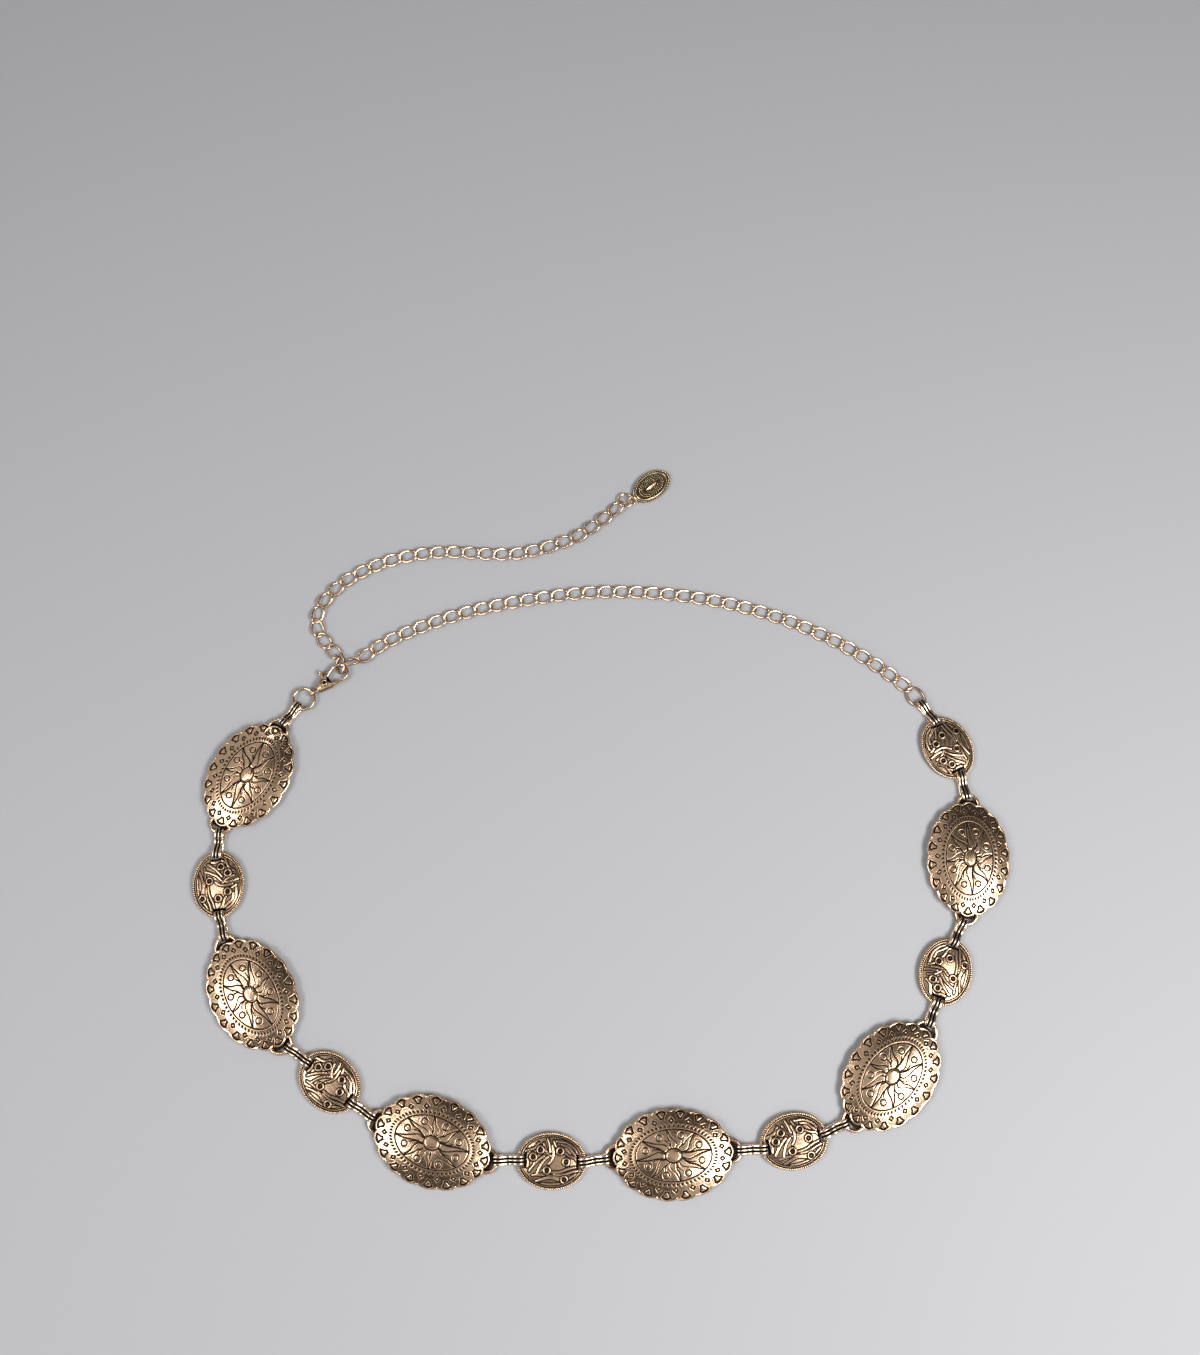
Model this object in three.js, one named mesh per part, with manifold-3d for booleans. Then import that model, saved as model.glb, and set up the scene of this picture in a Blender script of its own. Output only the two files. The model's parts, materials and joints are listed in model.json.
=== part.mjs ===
// A chain belt that lies on a table in an open loop. Six large domed medallions and
// six small ones alternate, joined by folded strap links. A jump ring and a swivel
// lobster clasp close the belt on a curb chain, whose free tail ends in an oval tag.
// Millimetres, +Z up. The medallions' own frames have +X along their long axis.

import * as THREE from "three";
import { mergeVertices } from "three/addons/utils/BufferGeometryUtils.js";
import Module from "manifold-3d";

const wasm = await Module();
wasm.setup();

// Driving dimensions of the large medallion
const LARGE = {
  halfLength: 25,
  halfWidth: 18.2,
  underside: 2.0,
  rimThickness: 0.9,
  scallops: 18,
  cuspDepth: 0.035,
  domeHeight: 3.3,
  bossHeight: 0.8,
  wall: 1.0,
};
const SUN = { rays: 8, middle: 0.36, ridge: 0.45, tips: 0.6 };

// The wire loop under each end of a large medallion
const LOOP = { radius: 4.6, wire: 0.6, centre: 23.6, height: 1.75, leg: 1.1 };

// Driving dimensions of the small medallion
const SMALL = {
  halfLength: 14.65,
  halfWidth: 11.4,
  underside: 1.1,
  plateThickness: 1.1,
  rimThickness: 1.5,
  rimWidth: 0.12,
  domeHeight: 1.1,
  slotInner: 10.2,
  slotOuter: 12.6,
  slotHalfWidth: 3.1,
};
const RIM_BAR = (SMALL.slotOuter + SMALL.halfLength) / 2;

// The folded strap link: a closed band with one hole for each bar that it holds
const STRAP = {
  width: 4.2,
  reach: 8.8,
  wall: 0.7,
  endWall: 0.55,
  loopHole: 1.5,
  barHole: 1.75,
  loopHeight: 3.5,
  barHeight: 3.6,
  waistTop: 2.4,
  waistBottom: 0.5,
};

// Jump ring, clasp and chain
const RING = { radius: 4.8, wire: 0.65, height: 1.95, slack: 0.24, direction: 52 };
const CLASP = { turn: 40, eyeBearing: 32, neck: 2.3 };
const EYE = { halfLength: 1.6, halfHeight: 1.45, wire: 0.45, height: 1.98 };
const COLLAR = { radius: 1.3, from: -0.75, to: -0.05, stem: 0.55, stemEnd: 1.5, bore: 0.85 };
const BODY = { bottom: 0.6, top: 3.8, slotBottom: 1.4, slotTop: 3.0, slotBack: 2.3 };
const RIVET = { u: 4.7, v: 0.3, radius: 0.7 };
const HOOK = { width: 1.3, thickness: 1.9, height: 2.3 };
const LEVER = { bottom: 1.7, top: 2.7, bore: 1.0 };
const CHAIN = { pitch: 7.3, halfWidth: 2.65, wire: 0.5, overlap: 0.4, twist: 0.75, height: 1.22 };
const LINK_SIDES = 10;
const TAG_RING = { radius: 3.2, wire: 0.45, x: 12.05, y: 85.36, height: 1.8 };
const TAG = { halfLength: 10.4, halfWidth: 6.5, x: 24.2, y: 92.6, turn: 40, underside: 0.9, thickness: 1.3 };
const TAG_LOOP = { radius: 1.75, wire: 0.45, lean: 45, leanBearing: -45 };

const ANTIQUE_BRASS = new THREE.MeshStandardMaterial({
  color: 0xa8825a,
  metalness: 0.95,
  roughness: 0.32,
});
const LIGHT_GOLD = new THREE.MeshStandardMaterial({
  color: 0xd0aa7c,
  metalness: 0.95,
  roughness: 0.25,
});
const ROSE_GOLD = new THREE.MeshStandardMaterial({
  color: 0xd9a878,
  metalness: 0.95,
  roughness: 0.22,
});
const DARK_BRASS = new THREE.MeshStandardMaterial({
  color: 0x7d6a45,
  metalness: 0.9,
  roughness: 0.4,
});

// Where each medallion lies, in belt order. Its +X end points to the next one.
const MEDALLIONS = [
  { name: "large_medallion_1", large: true, x: -155.9, y: -45.5, turn: -118 },
  { name: "small_medallion_1", large: false, x: -166.2, y: -93.2, turn: -83.5 },
  { name: "large_medallion_2", large: true, x: -148.0, y: -139.4, turn: -57 },
  { name: "small_medallion_2", large: false, x: -113.5, y: -175.1, turn: -40 },
  { name: "large_medallion_3", large: true, x: -69.4, y: -198.6, turn: -18.5 },
  { name: "small_medallion_3", large: false, x: -20.1, y: -206.2, turn: -2 },
  { name: "large_medallion_4", large: true, x: 30.3, y: -203.5, turn: 3.2 },
  { name: "small_medallion_4", large: false, x: 80.5, y: -198.4, turn: 13 },
  { name: "large_medallion_5", large: true, x: 122.0, y: -172.6, turn: 47.5 },
  { name: "small_medallion_5", large: false, x: 148.0, y: -130.2, turn: 70.3 },
  { name: "large_medallion_6", large: true, x: 160.9, y: -82.1, turn: 85 },
  { name: "small_medallion_6", large: false, x: 155.4, y: -32.8, turn: 112 },
];
const CHAIN_STRAP_TURN = 124;

// The chain's route over the table, from the clasp round to the last strap link
const MAIN_ROUTE = [
  { x: -109.3, y: 7.9 },
  { x: -103.0, y: 12.9 },
  { x: -96.3, y: 17.1 },
  { x: -76.5, y: 25.6 },
  { x: -56.1, y: 31.9 },
  { x: -32.3, y: 36.7 },
  { x: -4.6, y: 40.1 },
  { x: 23.1, y: 39.9 },
  { x: 50.8, y: 36.5 },
  { x: 78.2, y: 29.5 },
  { x: 105.3, y: 18.1 },
  { x: 124.8, y: 6.3 },
];

// The free tail's route, from beside the clasp to the tag's ring
const TAIL_ROUTE = [
  { x: -123.5, y: 14.1 },
  { x: -127.6, y: 18.4 },
  { x: -130.6, y: 24.4 },
  { x: -129.6, y: 31.6 },
  { x: -122.0, y: 42.2 },
  { x: -110.2, y: 50.3 },
  { x: -96.8, y: 55.9 },
  { x: -82.9, y: 58.9 },
  { x: -68.0, y: 59.9 },
  { x: -53.1, y: 58.9 },
  { x: -38.7, y: 58.9 },
  { x: -24.3, y: 62.3 },
  { x: -10.8, y: 67.3 },
];

const radians = THREE.MathUtils.degToRad;
const towards = (turn) => new THREE.Vector3(Math.cos(radians(turn)), Math.sin(radians(turn)), 0);

// A closed geometry as a solid that can be joined and cut
function solid(geometry) {
  const bare = geometry.clone();
  bare.deleteAttribute("normal");
  bare.deleteAttribute("uv");
  const merged = mergeVertices(bare, 1e-5);
  return new wasm.Manifold(
    new wasm.Mesh({
      numProp: 3,
      vertProperties: new Float32Array(merged.attributes.position.array),
      triVerts: new Uint32Array(merged.index.array),
    }),
  );
}

// A joined or cut solid as a geometry again
function geometryOf(body) {
  const mesh = body.getMesh();
  const geometry = new THREE.BufferGeometry();
  geometry.setAttribute("position", new THREE.BufferAttribute(mesh.vertProperties, 3));
  geometry.setIndex(new THREE.BufferAttribute(mesh.triVerts, 1));
  geometry.computeVertexNormals();
  return geometry;
}

function joined(bodies) {
  return bodies.reduce((all, one) => all.add(one));
}

function named(name, geometry, material) {
  const mesh = new THREE.Mesh(geometry, material);
  mesh.name = name;
  return mesh;
}

// A flat outline raised from one height to another
function slab(points, bottom, top, holes = []) {
  const shape = new THREE.Shape(points);
  shape.holes = holes.map((hole) => new THREE.Path(hole));
  const geometry = new THREE.ExtrudeGeometry(shape, { depth: top - bottom, bevelEnabled: false });
  return geometry.translate(0, 0, bottom);
}

function ovalPoints(halfLength, halfWidth, count, start = 0) {
  return Array.from({ length: count }, (_, k) => {
    const angle = start + (k / count) * 2 * Math.PI;
    return new THREE.Vector2(halfLength * Math.cos(angle), halfWidth * Math.sin(angle));
  });
}

function boxPoints(x0, y0, x1, y1) {
  return [
    new THREE.Vector2(x0, y0),
    new THREE.Vector2(x1, y0),
    new THREE.Vector2(x1, y1),
    new THREE.Vector2(x0, y1),
  ];
}

// A turned profile of share of the radius and height, squeezed to an oval
function ovalTurning(profile, halfLength, halfWidth, sides) {
  const points = profile.map((p) => new THREE.Vector2(p.share, p.height));
  const geometry = new THREE.LatheGeometry(points, sides);
  geometry.rotateX(Math.PI / 2);
  return geometry.scale(halfLength, halfWidth, 1);
}

// A wire swept along a smooth open path
function bentWire(points, section, steps) {
  const path = new THREE.CatmullRomCurve3(points, false, "centripetal");
  return new THREE.ExtrudeGeometry(new THREE.Shape(section), { steps, extrudePath: path });
}

// A closed ring of wire on a centre line that runs once round for angle 0 to 2 pi.
// One edge of the wire's section faces inward, so that linked rings meet edge to edge.
function closedWire(centreLine, normal, wire, sides, wireSides) {
  const geometry = new THREE.TorusGeometry(1, 0.1, wireSides, sides);
  const { position, uv } = geometry.attributes;
  const step = 0.01;
  for (let k = 0; k < position.count; k += 1) {
    const along = uv.getX(k) * 2 * Math.PI;
    const round = uv.getY(k) * 2 * Math.PI + Math.PI;
    const tangent = centreLine(along + step).sub(centreLine(along - step)).normalize();
    const outward = tangent.clone().cross(normal).normalize();
    const upward = outward.clone().cross(tangent);
    const point = centreLine(along)
      .addScaledVector(outward, wire * Math.cos(round))
      .addScaledVector(upward, wire * Math.sin(round));
    position.setXYZ(k, point.x, point.y, point.z);
  }
  return geometry;
}

// Scallops round the rim: three points each, the first in the cusp between two
function scallopedOutline() {
  const perScallop = 3;
  const count = LARGE.scallops * perScallop;
  return Array.from({ length: count }, (_, k) => {
    const angle = ((k - perScallop / 2) / count) * 2 * Math.PI;
    const share = k % perScallop === 0 ? 1 - LARGE.cuspDepth : 1;
    return new THREE.Vector2(
      LARGE.halfLength * share * Math.cos(angle),
      LARGE.halfWidth * share * Math.sin(angle),
    );
  });
}

// The D-shaped loop of wire, soldered under the rim
function wireLoop() {
  const arcPoints = 7;
  const steps = 7;
  const points = Array.from({ length: arcPoints }, (_, k) => {
    const angle = -Math.PI / 2 + (k / (arcPoints - 1)) * Math.PI;
    return new THREE.Vector3(
      LOOP.centre + LOOP.radius * Math.cos(angle),
      LOOP.radius * Math.sin(angle),
      LOOP.height,
    );
  });
  const first = points[0].clone().setX(LOOP.centre - LOOP.leg);
  const last = points[arcPoints - 1].clone().setX(LOOP.centre - LOOP.leg);
  return solid(bentWire([first, ...points, last], ovalPoints(LOOP.wire, LOOP.wire, 5), steps));
}

// The dome, with a boss in the middle and the sun's rays as ridges round it
function sunDome(rimTop, crown) {
  const sides = 2 * SUN.rays;
  const middleHeight = crown - LARGE.domeHeight * 0.11;
  const dome = ovalTurning(
    [
      { share: 0, height: rimTop - 0.4 },
      { share: 0.94, height: rimTop - 0.2 },
      { share: 0.82, height: crown - LARGE.domeHeight * 0.65 },
      { share: SUN.tips, height: crown - LARGE.domeHeight * 0.3 },
      { share: SUN.middle, height: middleHeight },
      { share: 0.17, height: crown - 0.1 },
      { share: 0.13, height: crown + LARGE.bossHeight * 0.7 },
      { share: 0, height: crown + LARGE.bossHeight },
    ],
    LARGE.halfLength,
    LARGE.halfWidth,
    sides,
  );
  const { position } = dome.attributes;
  for (let k = 0; k < position.count; k += 1) {
    const angle = Math.atan2(position.getY(k) / LARGE.halfWidth, position.getX(k) / LARGE.halfLength);
    const onRay = Math.round((angle / (2 * Math.PI)) * sides) % 2 === 0;
    const atMiddle = Math.abs(position.getZ(k) - middleHeight) < 1e-4;
    if (onRay && atMiddle) position.setZ(k, middleHeight + SUN.ridge);
  }
  return solid(dome);
}

function largeMedallion() {
  const rimTop = LARGE.underside + LARGE.rimThickness;
  const crown = rimTop + LARGE.domeHeight;
  const hollow = ovalTurning(
    [
      { share: 0, height: 0 },
      { share: 0.84, height: 0 },
      { share: 0.84, height: LARGE.underside },
      { share: 0.6, height: crown - LARGE.domeHeight * 0.3 - LARGE.wall },
      { share: 0, height: crown - LARGE.wall },
    ],
    LARGE.halfLength,
    LARGE.halfWidth,
    10,
  );
  const loop = wireLoop();
  return solid(slab(scallopedOutline(), LARGE.underside, rimTop))
    .add(sunDome(rimTop, crown))
    .subtract(solid(hollow))
    .add(loop)
    .add(loop.rotate([0, 0, 180]));
}

function smallMedallion() {
  const { halfLength, halfWidth, underside, slotInner, slotOuter, slotHalfWidth } = SMALL;
  const plateTop = underside + SMALL.plateThickness;
  const rimTop = underside + SMALL.rimThickness;
  const slots = [
    boxPoints(slotInner, -slotHalfWidth, slotOuter, slotHalfWidth),
    boxPoints(-slotOuter, -slotHalfWidth, -slotInner, slotHalfWidth),
  ].map((corners) => solid(slab(corners, 0, 2 * plateTop)));
  const dish = ovalTurning(
    [
      { share: 0, height: underside },
      { share: 1, height: underside },
      { share: 1, height: rimTop },
      { share: 1 - SMALL.rimWidth, height: rimTop },
      { share: 1 - SMALL.rimWidth, height: plateTop },
      { share: 0.66, height: plateTop },
      { share: 0.42, height: plateTop + SMALL.domeHeight * 0.7 },
      { share: 0, height: plateTop + SMALL.domeHeight },
    ],
    halfLength,
    halfWidth,
    16,
  );
  return solid(dish).subtract(joined(slots));
}

// Side outline of the strap link, from the wire loop at 0 to the rim bar at its reach
function strapLink() {
  const { reach, endWall, loopHole, barHole, wall } = STRAP;
  const loopEnd = -loopHole - endWall;
  const barEnd = reach + barHole + endWall;
  const middle = reach / 2;
  const outline = [
    [loopEnd + 0.8, 0],
    [1.2, 0],
    [middle, STRAP.waistBottom],
    [reach - 1.4, 0],
    [barEnd - 0.6, 0],
    [barEnd, 0.8],
    [barEnd, STRAP.barHeight - 0.7],
    [barEnd - 0.7, STRAP.barHeight],
    [reach - 1.2, STRAP.barHeight],
    [middle, STRAP.waistTop],
    [1.1, STRAP.loopHeight],
    [loopEnd + 0.8, STRAP.loopHeight],
    [loopEnd, STRAP.loopHeight - 0.8],
    [loopEnd, 0.8],
  ].map(([along, height]) => new THREE.Vector2(along, height));
  const holes = [
    boxPoints(-loopHole, wall, loopHole, STRAP.loopHeight - wall),
    boxPoints(reach - barHole, wall + 0.05, reach + barHole, STRAP.barHeight - wall),
  ];
  const band = slab(outline, -STRAP.width / 2, STRAP.width / 2, holes);
  band.rotateX(Math.PI / 2);
  return band;
}

// One chain link between the points where it touches its neighbours, laid over by roll.
// A straight side of its outline lies across each end, where the next link rests on it.
function linkBetween(from, to, roll = 0, twist = CHAIN.twist, halfWidth = CHAIN.halfWidth) {
  const halfStep = Math.PI / LINK_SIDES;
  const along = to.clone().sub(from);
  const halfLength = (along.length() / 2 + CHAIN.overlap) / Math.cos(halfStep);
  const middle = from.clone().add(to).multiplyScalar(0.5);
  along.normalize();
  const across = new THREE.Vector3(0, 0, 1).cross(along).normalize();
  across.applyAxisAngle(along, radians(roll));
  const normal = along.clone().cross(across);
  const centreLine = (angle) => {
    const turned = angle + halfStep;
    return middle
      .clone()
      .addScaledVector(along, halfLength * Math.cos(turned))
      .addScaledVector(across, halfWidth * Math.sin(turned))
      .addScaledVector(normal, -twist * Math.sin(2 * turned));
  };
  return solid(closedWire(centreLine, normal, CHAIN.wire, LINK_SIDES, 5));
}

// The points where links touch along a route, as many as fit it at the chain's pitch
function contactPoints(route) {
  const curve = new THREE.CatmullRomCurve3(route, false, "centripetal");
  const links = Math.round(curve.getLength() / CHAIN.pitch);
  return curve.getSpacedPoints(links);
}

function chainAlong(points) {
  return points.slice(1).map((point, k) => linkBetween(points[k], point));
}

function medallionEnd(medallion, sign) {
  const out = medallion.large ? LOOP.centre : RIM_BAR;
  const centre = new THREE.Vector3(medallion.x, medallion.y, 0);
  return centre.addScaledVector(towards(medallion.turn), sign * out);
}

function turnBetween(from, to) {
  return THREE.MathUtils.radToDeg(Math.atan2(to.y - from.y, to.x - from.x));
}

function placed(mesh, x, y, turn) {
  mesh.position.set(x, y, 0);
  mesh.rotation.z = radians(turn);
  return mesh;
}

// A strap link whose loop end rides on the wire loop centred on pivot
function placedStrap(name, geometry, pivot, turn) {
  const place = pivot.clone().addScaledVector(towards(turn), LOOP.radius);
  return placed(named(name, geometry, ANTIQUE_BRASS), place.x, place.y, turn);
}

// The loop that swivels in the clasp's neck, with its collar and stem
function swivelEye() {
  const centre = -CLASP.neck;
  const centreLine = (angle) =>
    new THREE.Vector3(
      centre + EYE.halfLength * Math.cos(angle),
      0,
      EYE.height + EYE.halfHeight * Math.sin(angle),
    );
  const loop = closedWire(centreLine, new THREE.Vector3(0, -1, 0), EYE.wire, 10, 6);
  const rod = (radius, from, to) => {
    const cylinder = new THREE.CylinderGeometry(radius, radius, to - from, 8);
    cylinder.rotateZ(Math.PI / 2);
    return cylinder.translate((from + to) / 2, 0, EYE.height);
  };
  const collar = rod(COLLAR.radius, COLLAR.from, COLLAR.to);
  const stem = rod(COLLAR.stem, COLLAR.from, COLLAR.stemEnd);
  return joined([loop, collar, stem].map(solid));
}

// Two cheeks joined at the neck, the rivet between them and the hook's arm
function claspBody() {
  const cheeks = [
    [0.25, -1.35],
    [4.2, -2.35],
    [6.6, -2.75],
    [8.0, -1.9],
    [8.3, 0.6],
    [8.2, 3.1],
    [6.2, 3.05],
    [0.25, 1.35],
  ].map(([u, v]) => new THREE.Vector2(u, v));
  const gap = boxPoints(BODY.slotBack, -6, 12, 6);
  const bore = new THREE.CylinderGeometry(COLLAR.bore, COLLAR.bore, 4, 8);
  bore.rotateZ(Math.PI / 2);
  bore.translate(0.2, 0, EYE.height);
  const rivet = new THREE.CylinderGeometry(RIVET.radius, RIVET.radius, BODY.top - BODY.bottom, 10);
  rivet.rotateX(Math.PI / 2);
  rivet.translate(RIVET.u, RIVET.v, (BODY.top + BODY.bottom) / 2);
  const arm = [
    [7.3, 2.5],
    [9.4, 3.2],
    [12.2, 3.75],
    [14.4, 3.35],
    [15.9, 1.8],
    [16.3, 0],
    [15.8, -1.9],
    [14.4, -3.3],
    [12.7, -3.75],
  ].map(([u, v]) => new THREE.Vector3(u, v, HOOK.height));
  const section = ovalPoints(HOOK.thickness / 2, HOOK.width / 2, 8, Math.PI / 8);
  const hook = bentWire(arm, section, 10);
  return solid(slab(cheeks, BODY.bottom, BODY.top))
    .subtract(solid(slab(gap, BODY.slotBottom, BODY.slotTop)))
    .subtract(solid(bore))
    .add(solid(rivet))
    .add(solid(hook));
}

// The lever turns on the rivet: a thumb tab on one side and the gate on the other
function claspLever() {
  const outline = [
    [RIVET.u - 1.7, 0.2],
    [RIVET.u - 1.0, -1.4],
    [RIVET.u + 0.8, -1.85],
    [8.4, -3.25],
    [11.8, -4.25],
    [11.95, -3.1],
    [8.6, -1.95],
    [RIVET.u + 1.75, -0.4],
    [RIVET.u + 1.45, 1.4],
    [6.55, 5.9],
    [6.0, 6.7],
    [5.2, 6.5],
    [RIVET.u - 0.5, 2.1],
  ].map(([u, v]) => new THREE.Vector2(u, v));
  const bore = ovalPoints(LEVER.bore, LEVER.bore, 10).map((p) => p.add(new THREE.Vector2(RIVET.u, RIVET.v)));
  return solid(slab(outline, LEVER.bottom, LEVER.top, [bore]));
}

function flatRing(radius, wire, sides) {
  const centreLine = (angle) =>
    new THREE.Vector3(radius * Math.cos(angle), radius * Math.sin(angle), 0);
  return closedWire(centreLine, new THREE.Vector3(0, 0, 1), wire, sides, 6);
}

// The tag: an oval plate with a raised rim, a ridge along it and a loop at its near end
function tagPlate() {
  const { halfLength, halfWidth, underside, thickness } = TAG;
  const sides = 16;
  const top = underside + thickness;
  const plate = slab(ovalPoints(halfLength, halfWidth, sides), underside, top - 0.35);
  const rim = slab(ovalPoints(halfLength, halfWidth, sides), underside, top, [
    ovalPoints(halfLength * 0.86, halfWidth * 0.84, sides),
  ]);
  const ridge = ovalTurning(
    [
      { share: 0, height: underside + 0.3 },
      { share: 1, height: top - 0.45 },
      { share: 0, height: top + 0.8 },
    ],
    halfLength * 0.62,
    0.8,
    8,
  );
  const leanAxis = towards(TAG_LOOP.leanBearing);
  const lean = new THREE.Matrix4().makeRotationAxis(leanAxis, radians(TAG_LOOP.lean));
  const loop = flatRing(TAG_LOOP.radius, TAG_LOOP.wire, 10).applyMatrix4(lean);
  loop.translate(TAG_LOOP.wire - halfLength - TAG_LOOP.radius, 0, TAG_RING.height);
  return joined([plate, rim, ridge, loop].map(solid));
}

const belt = new THREE.Group();

// Medallions
const largeGeometry = geometryOf(largeMedallion());
const smallGeometry = geometryOf(smallMedallion());
for (const { name, large, x, y, turn } of MEDALLIONS) {
  const geometry = large ? largeGeometry : smallGeometry;
  belt.add(placed(named(name, geometry, ANTIQUE_BRASS), x, y, turn));
}

// Strap links between neighbours, each with its loop end on the large medallion
const strapGeometry = strapLink();
for (let k = 1; k < MEDALLIONS.length; k += 1) {
  const before = MEDALLIONS[k - 1];
  const after = MEDALLIONS[k];
  const ends = [medallionEnd(before, 1), medallionEnd(after, -1)];
  const [pivot, bar] = before.large ? ends : ends.reverse();
  belt.add(placedStrap(`strap_link_${k}`, strapGeometry, pivot, turnBetween(pivot, bar)));
}

// The first strap link and the jump ring that it holds
const firstPivot = medallionEnd(MEDALLIONS[0], -1);
belt.add(placedStrap("strap_link_0", strapGeometry, firstPivot, RING.direction));
const ringCentre = firstPivot
  .clone()
  .addScaledVector(towards(RING.direction), LOOP.radius + STRAP.reach - RING.slack + RING.radius);
const ring = named("jump_ring", flatRing(RING.radius, RING.wire, 12), LIGHT_GOLD);
ring.position.set(ringCentre.x, ringCentre.y, RING.height);
belt.add(ring);

// The last strap link, turned round so that its loop end holds the chain
const lastBar = medallionEnd(MEDALLIONS[MEDALLIONS.length - 1], 1);
const chainHold = lastBar.clone().addScaledVector(towards(CHAIN_STRAP_TURN), STRAP.reach);
const lastStrap = named(`strap_link_${MEDALLIONS.length}`, strapGeometry, ANTIQUE_BRASS);
belt.add(placed(lastStrap, chainHold.x, chainHold.y, CHAIN_STRAP_TURN + 180));

// The clasp on the jump ring
const eyePlace = ringCentre.clone().addScaledVector(towards(CLASP.eyeBearing), RING.radius);
const neck = eyePlace.clone().addScaledVector(towards(CLASP.turn), CLASP.neck);
const clasp = new THREE.Group();
clasp.add(named("swivel_eye", geometryOf(swivelEye()), LIGHT_GOLD));
clasp.add(named("clasp_body", geometryOf(claspBody()), LIGHT_GOLD));
clasp.add(named("clasp_lever", geometryOf(claspLever()), LIGHT_GOLD));
belt.add(placed(clasp, neck.x, neck.y, CLASP.turn));

// The link that the hook holds stands aslant: one side under the arm, one over it
const claspPoint = (u, v, z) => {
  const side = new THREE.Vector3(0, 0, 1).cross(towards(CLASP.turn));
  return neck.clone().addScaledVector(towards(CLASP.turn), u).addScaledVector(side, v).setZ(z);
};
const heldMiddle = claspPoint(15.4, 2.9, HOOK.height);
const heldAlong = towards(CLASP.turn + 56);
const heldHalf = CHAIN.pitch / 2;
const heldNear = heldMiddle.clone().addScaledVector(heldAlong, -heldHalf);
const heldFar = heldMiddle.clone().addScaledVector(heldAlong, heldHalf);
const heldRoll = -40;
const heldLink = linkBetween(heldNear, heldFar, heldRoll, 0);

// Main chain: the next link stands on its side in the held one, and the last is a wider one
const atHeight = (p) => new THREE.Vector3(p.x, p.y, CHAIN.height);
const standingHeight = { start: 3.6, end: 1.9 };
const standingRoll = -58;
const lastLinkTurn = 125;
const lastLinkLength = 8.8;
const strapHoleHeight = STRAP.loopHeight / 2;
const lastHold = chainHold.clone().addScaledVector(towards(lastLinkTurn), -0.2).setZ(strapHoleHeight);
const lastFree = lastHold.clone().addScaledVector(towards(lastLinkTurn), lastLinkLength).setZ(CHAIN.height);
const mainContacts = contactPoints([...MAIN_ROUTE.map(atHeight), lastFree]);
mainContacts[0].setZ(standingHeight.end);
const standingStart = heldMiddle.clone().addScaledVector(towards(8), 2.2).setZ(standingHeight.start);
const standingLink = linkBetween(standingStart, mainContacts[0], standingRoll, 0);
const lastLink = linkBetween(lastFree, lastHold, 0, 0.25, 3.45);
const mainChain = joined([heldLink, standingLink, ...chainAlong(mainContacts), lastLink]);
belt.add(named("main_chain", geometryOf(mainChain), ROSE_GOLD));

// Tail chain: its first link holds the hook's link and its last link the tag's ring
const wireClearance = 1.05;
const tailFirst = heldFar.clone().add(new THREE.Vector3(-0.1, -0.45, -0.35));
const tailLastTurn = 42;
const ringEdge = new THREE.Vector3(TAG_RING.x, TAG_RING.y, TAG_RING.height).addScaledVector(
  towards(tailLastTurn),
  wireClearance - TAG_RING.radius,
);
const tailEnd = ringEdge.clone().addScaledVector(towards(tailLastTurn), -CHAIN.pitch).setZ(CHAIN.height);
const tailContacts = contactPoints([...TAIL_ROUTE.map(atHeight), tailEnd]);
const tailLinks = [
  linkBetween(tailFirst, tailContacts[0], 15),
  ...chainAlong(tailContacts),
  linkBetween(tailEnd, ringEdge, -22),
];
belt.add(named("tail_chain", geometryOf(joined(tailLinks)), ROSE_GOLD));
const tagRing = named("tag_ring", flatRing(TAG_RING.radius, TAG_RING.wire, 12), ROSE_GOLD);
tagRing.position.set(TAG_RING.x, TAG_RING.y, TAG_RING.height);
belt.add(tagRing);
belt.add(placed(named("tag", geometryOf(tagPlate()), DARK_BRASS), TAG.x, TAG.y, TAG.turn));

// The origin is the middle of the belt's box, on the table
const reach = new THREE.Box3().setFromObject(belt, true);
const middle = reach.getCenter(new THREE.Vector3());
belt.position.set(-middle.x, -middle.y, -reach.min.z);

export default belt;
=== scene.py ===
# A chain belt of cast sun medallions, lying on a pale table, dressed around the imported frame.
# Shapes are worked out in millimetres in the frame's axes and turned into metres once.
import json
import math

import bmesh
import bpy
import numpy as np
from mathutils import Matrix, Vector


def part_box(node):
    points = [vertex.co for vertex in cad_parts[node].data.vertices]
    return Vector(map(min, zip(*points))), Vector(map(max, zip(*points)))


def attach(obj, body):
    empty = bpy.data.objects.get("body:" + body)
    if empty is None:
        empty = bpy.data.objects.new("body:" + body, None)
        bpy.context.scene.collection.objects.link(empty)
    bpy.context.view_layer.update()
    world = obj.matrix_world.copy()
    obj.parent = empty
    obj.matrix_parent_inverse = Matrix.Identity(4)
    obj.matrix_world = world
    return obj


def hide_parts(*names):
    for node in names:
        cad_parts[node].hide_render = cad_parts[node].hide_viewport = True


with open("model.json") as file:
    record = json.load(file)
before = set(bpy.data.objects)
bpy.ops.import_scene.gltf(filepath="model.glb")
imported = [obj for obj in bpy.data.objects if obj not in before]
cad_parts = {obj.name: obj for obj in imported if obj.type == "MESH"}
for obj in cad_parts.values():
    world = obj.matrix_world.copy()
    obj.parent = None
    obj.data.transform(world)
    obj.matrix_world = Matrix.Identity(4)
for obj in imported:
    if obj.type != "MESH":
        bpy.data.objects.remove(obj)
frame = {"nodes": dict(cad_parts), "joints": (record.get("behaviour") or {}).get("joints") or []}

MM = 0.001
TURN = 2 * math.pi
UP = np.array([0.0, 0.0, 1.0])
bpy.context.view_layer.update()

# The large medallion, as in the part
LARGE_LENGTH = 25.0
LARGE_WIDTH = 18.2
LARGE_UNDERSIDE = 2.0
LARGE_RIM_TOP = 2.9
LARGE_CROWN = 6.15
DOME_SWELL = 2.2
LARGE_WALL = 1.0
SCALLOPS = 18
CUSP_DEPTH = 0.047

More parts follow.
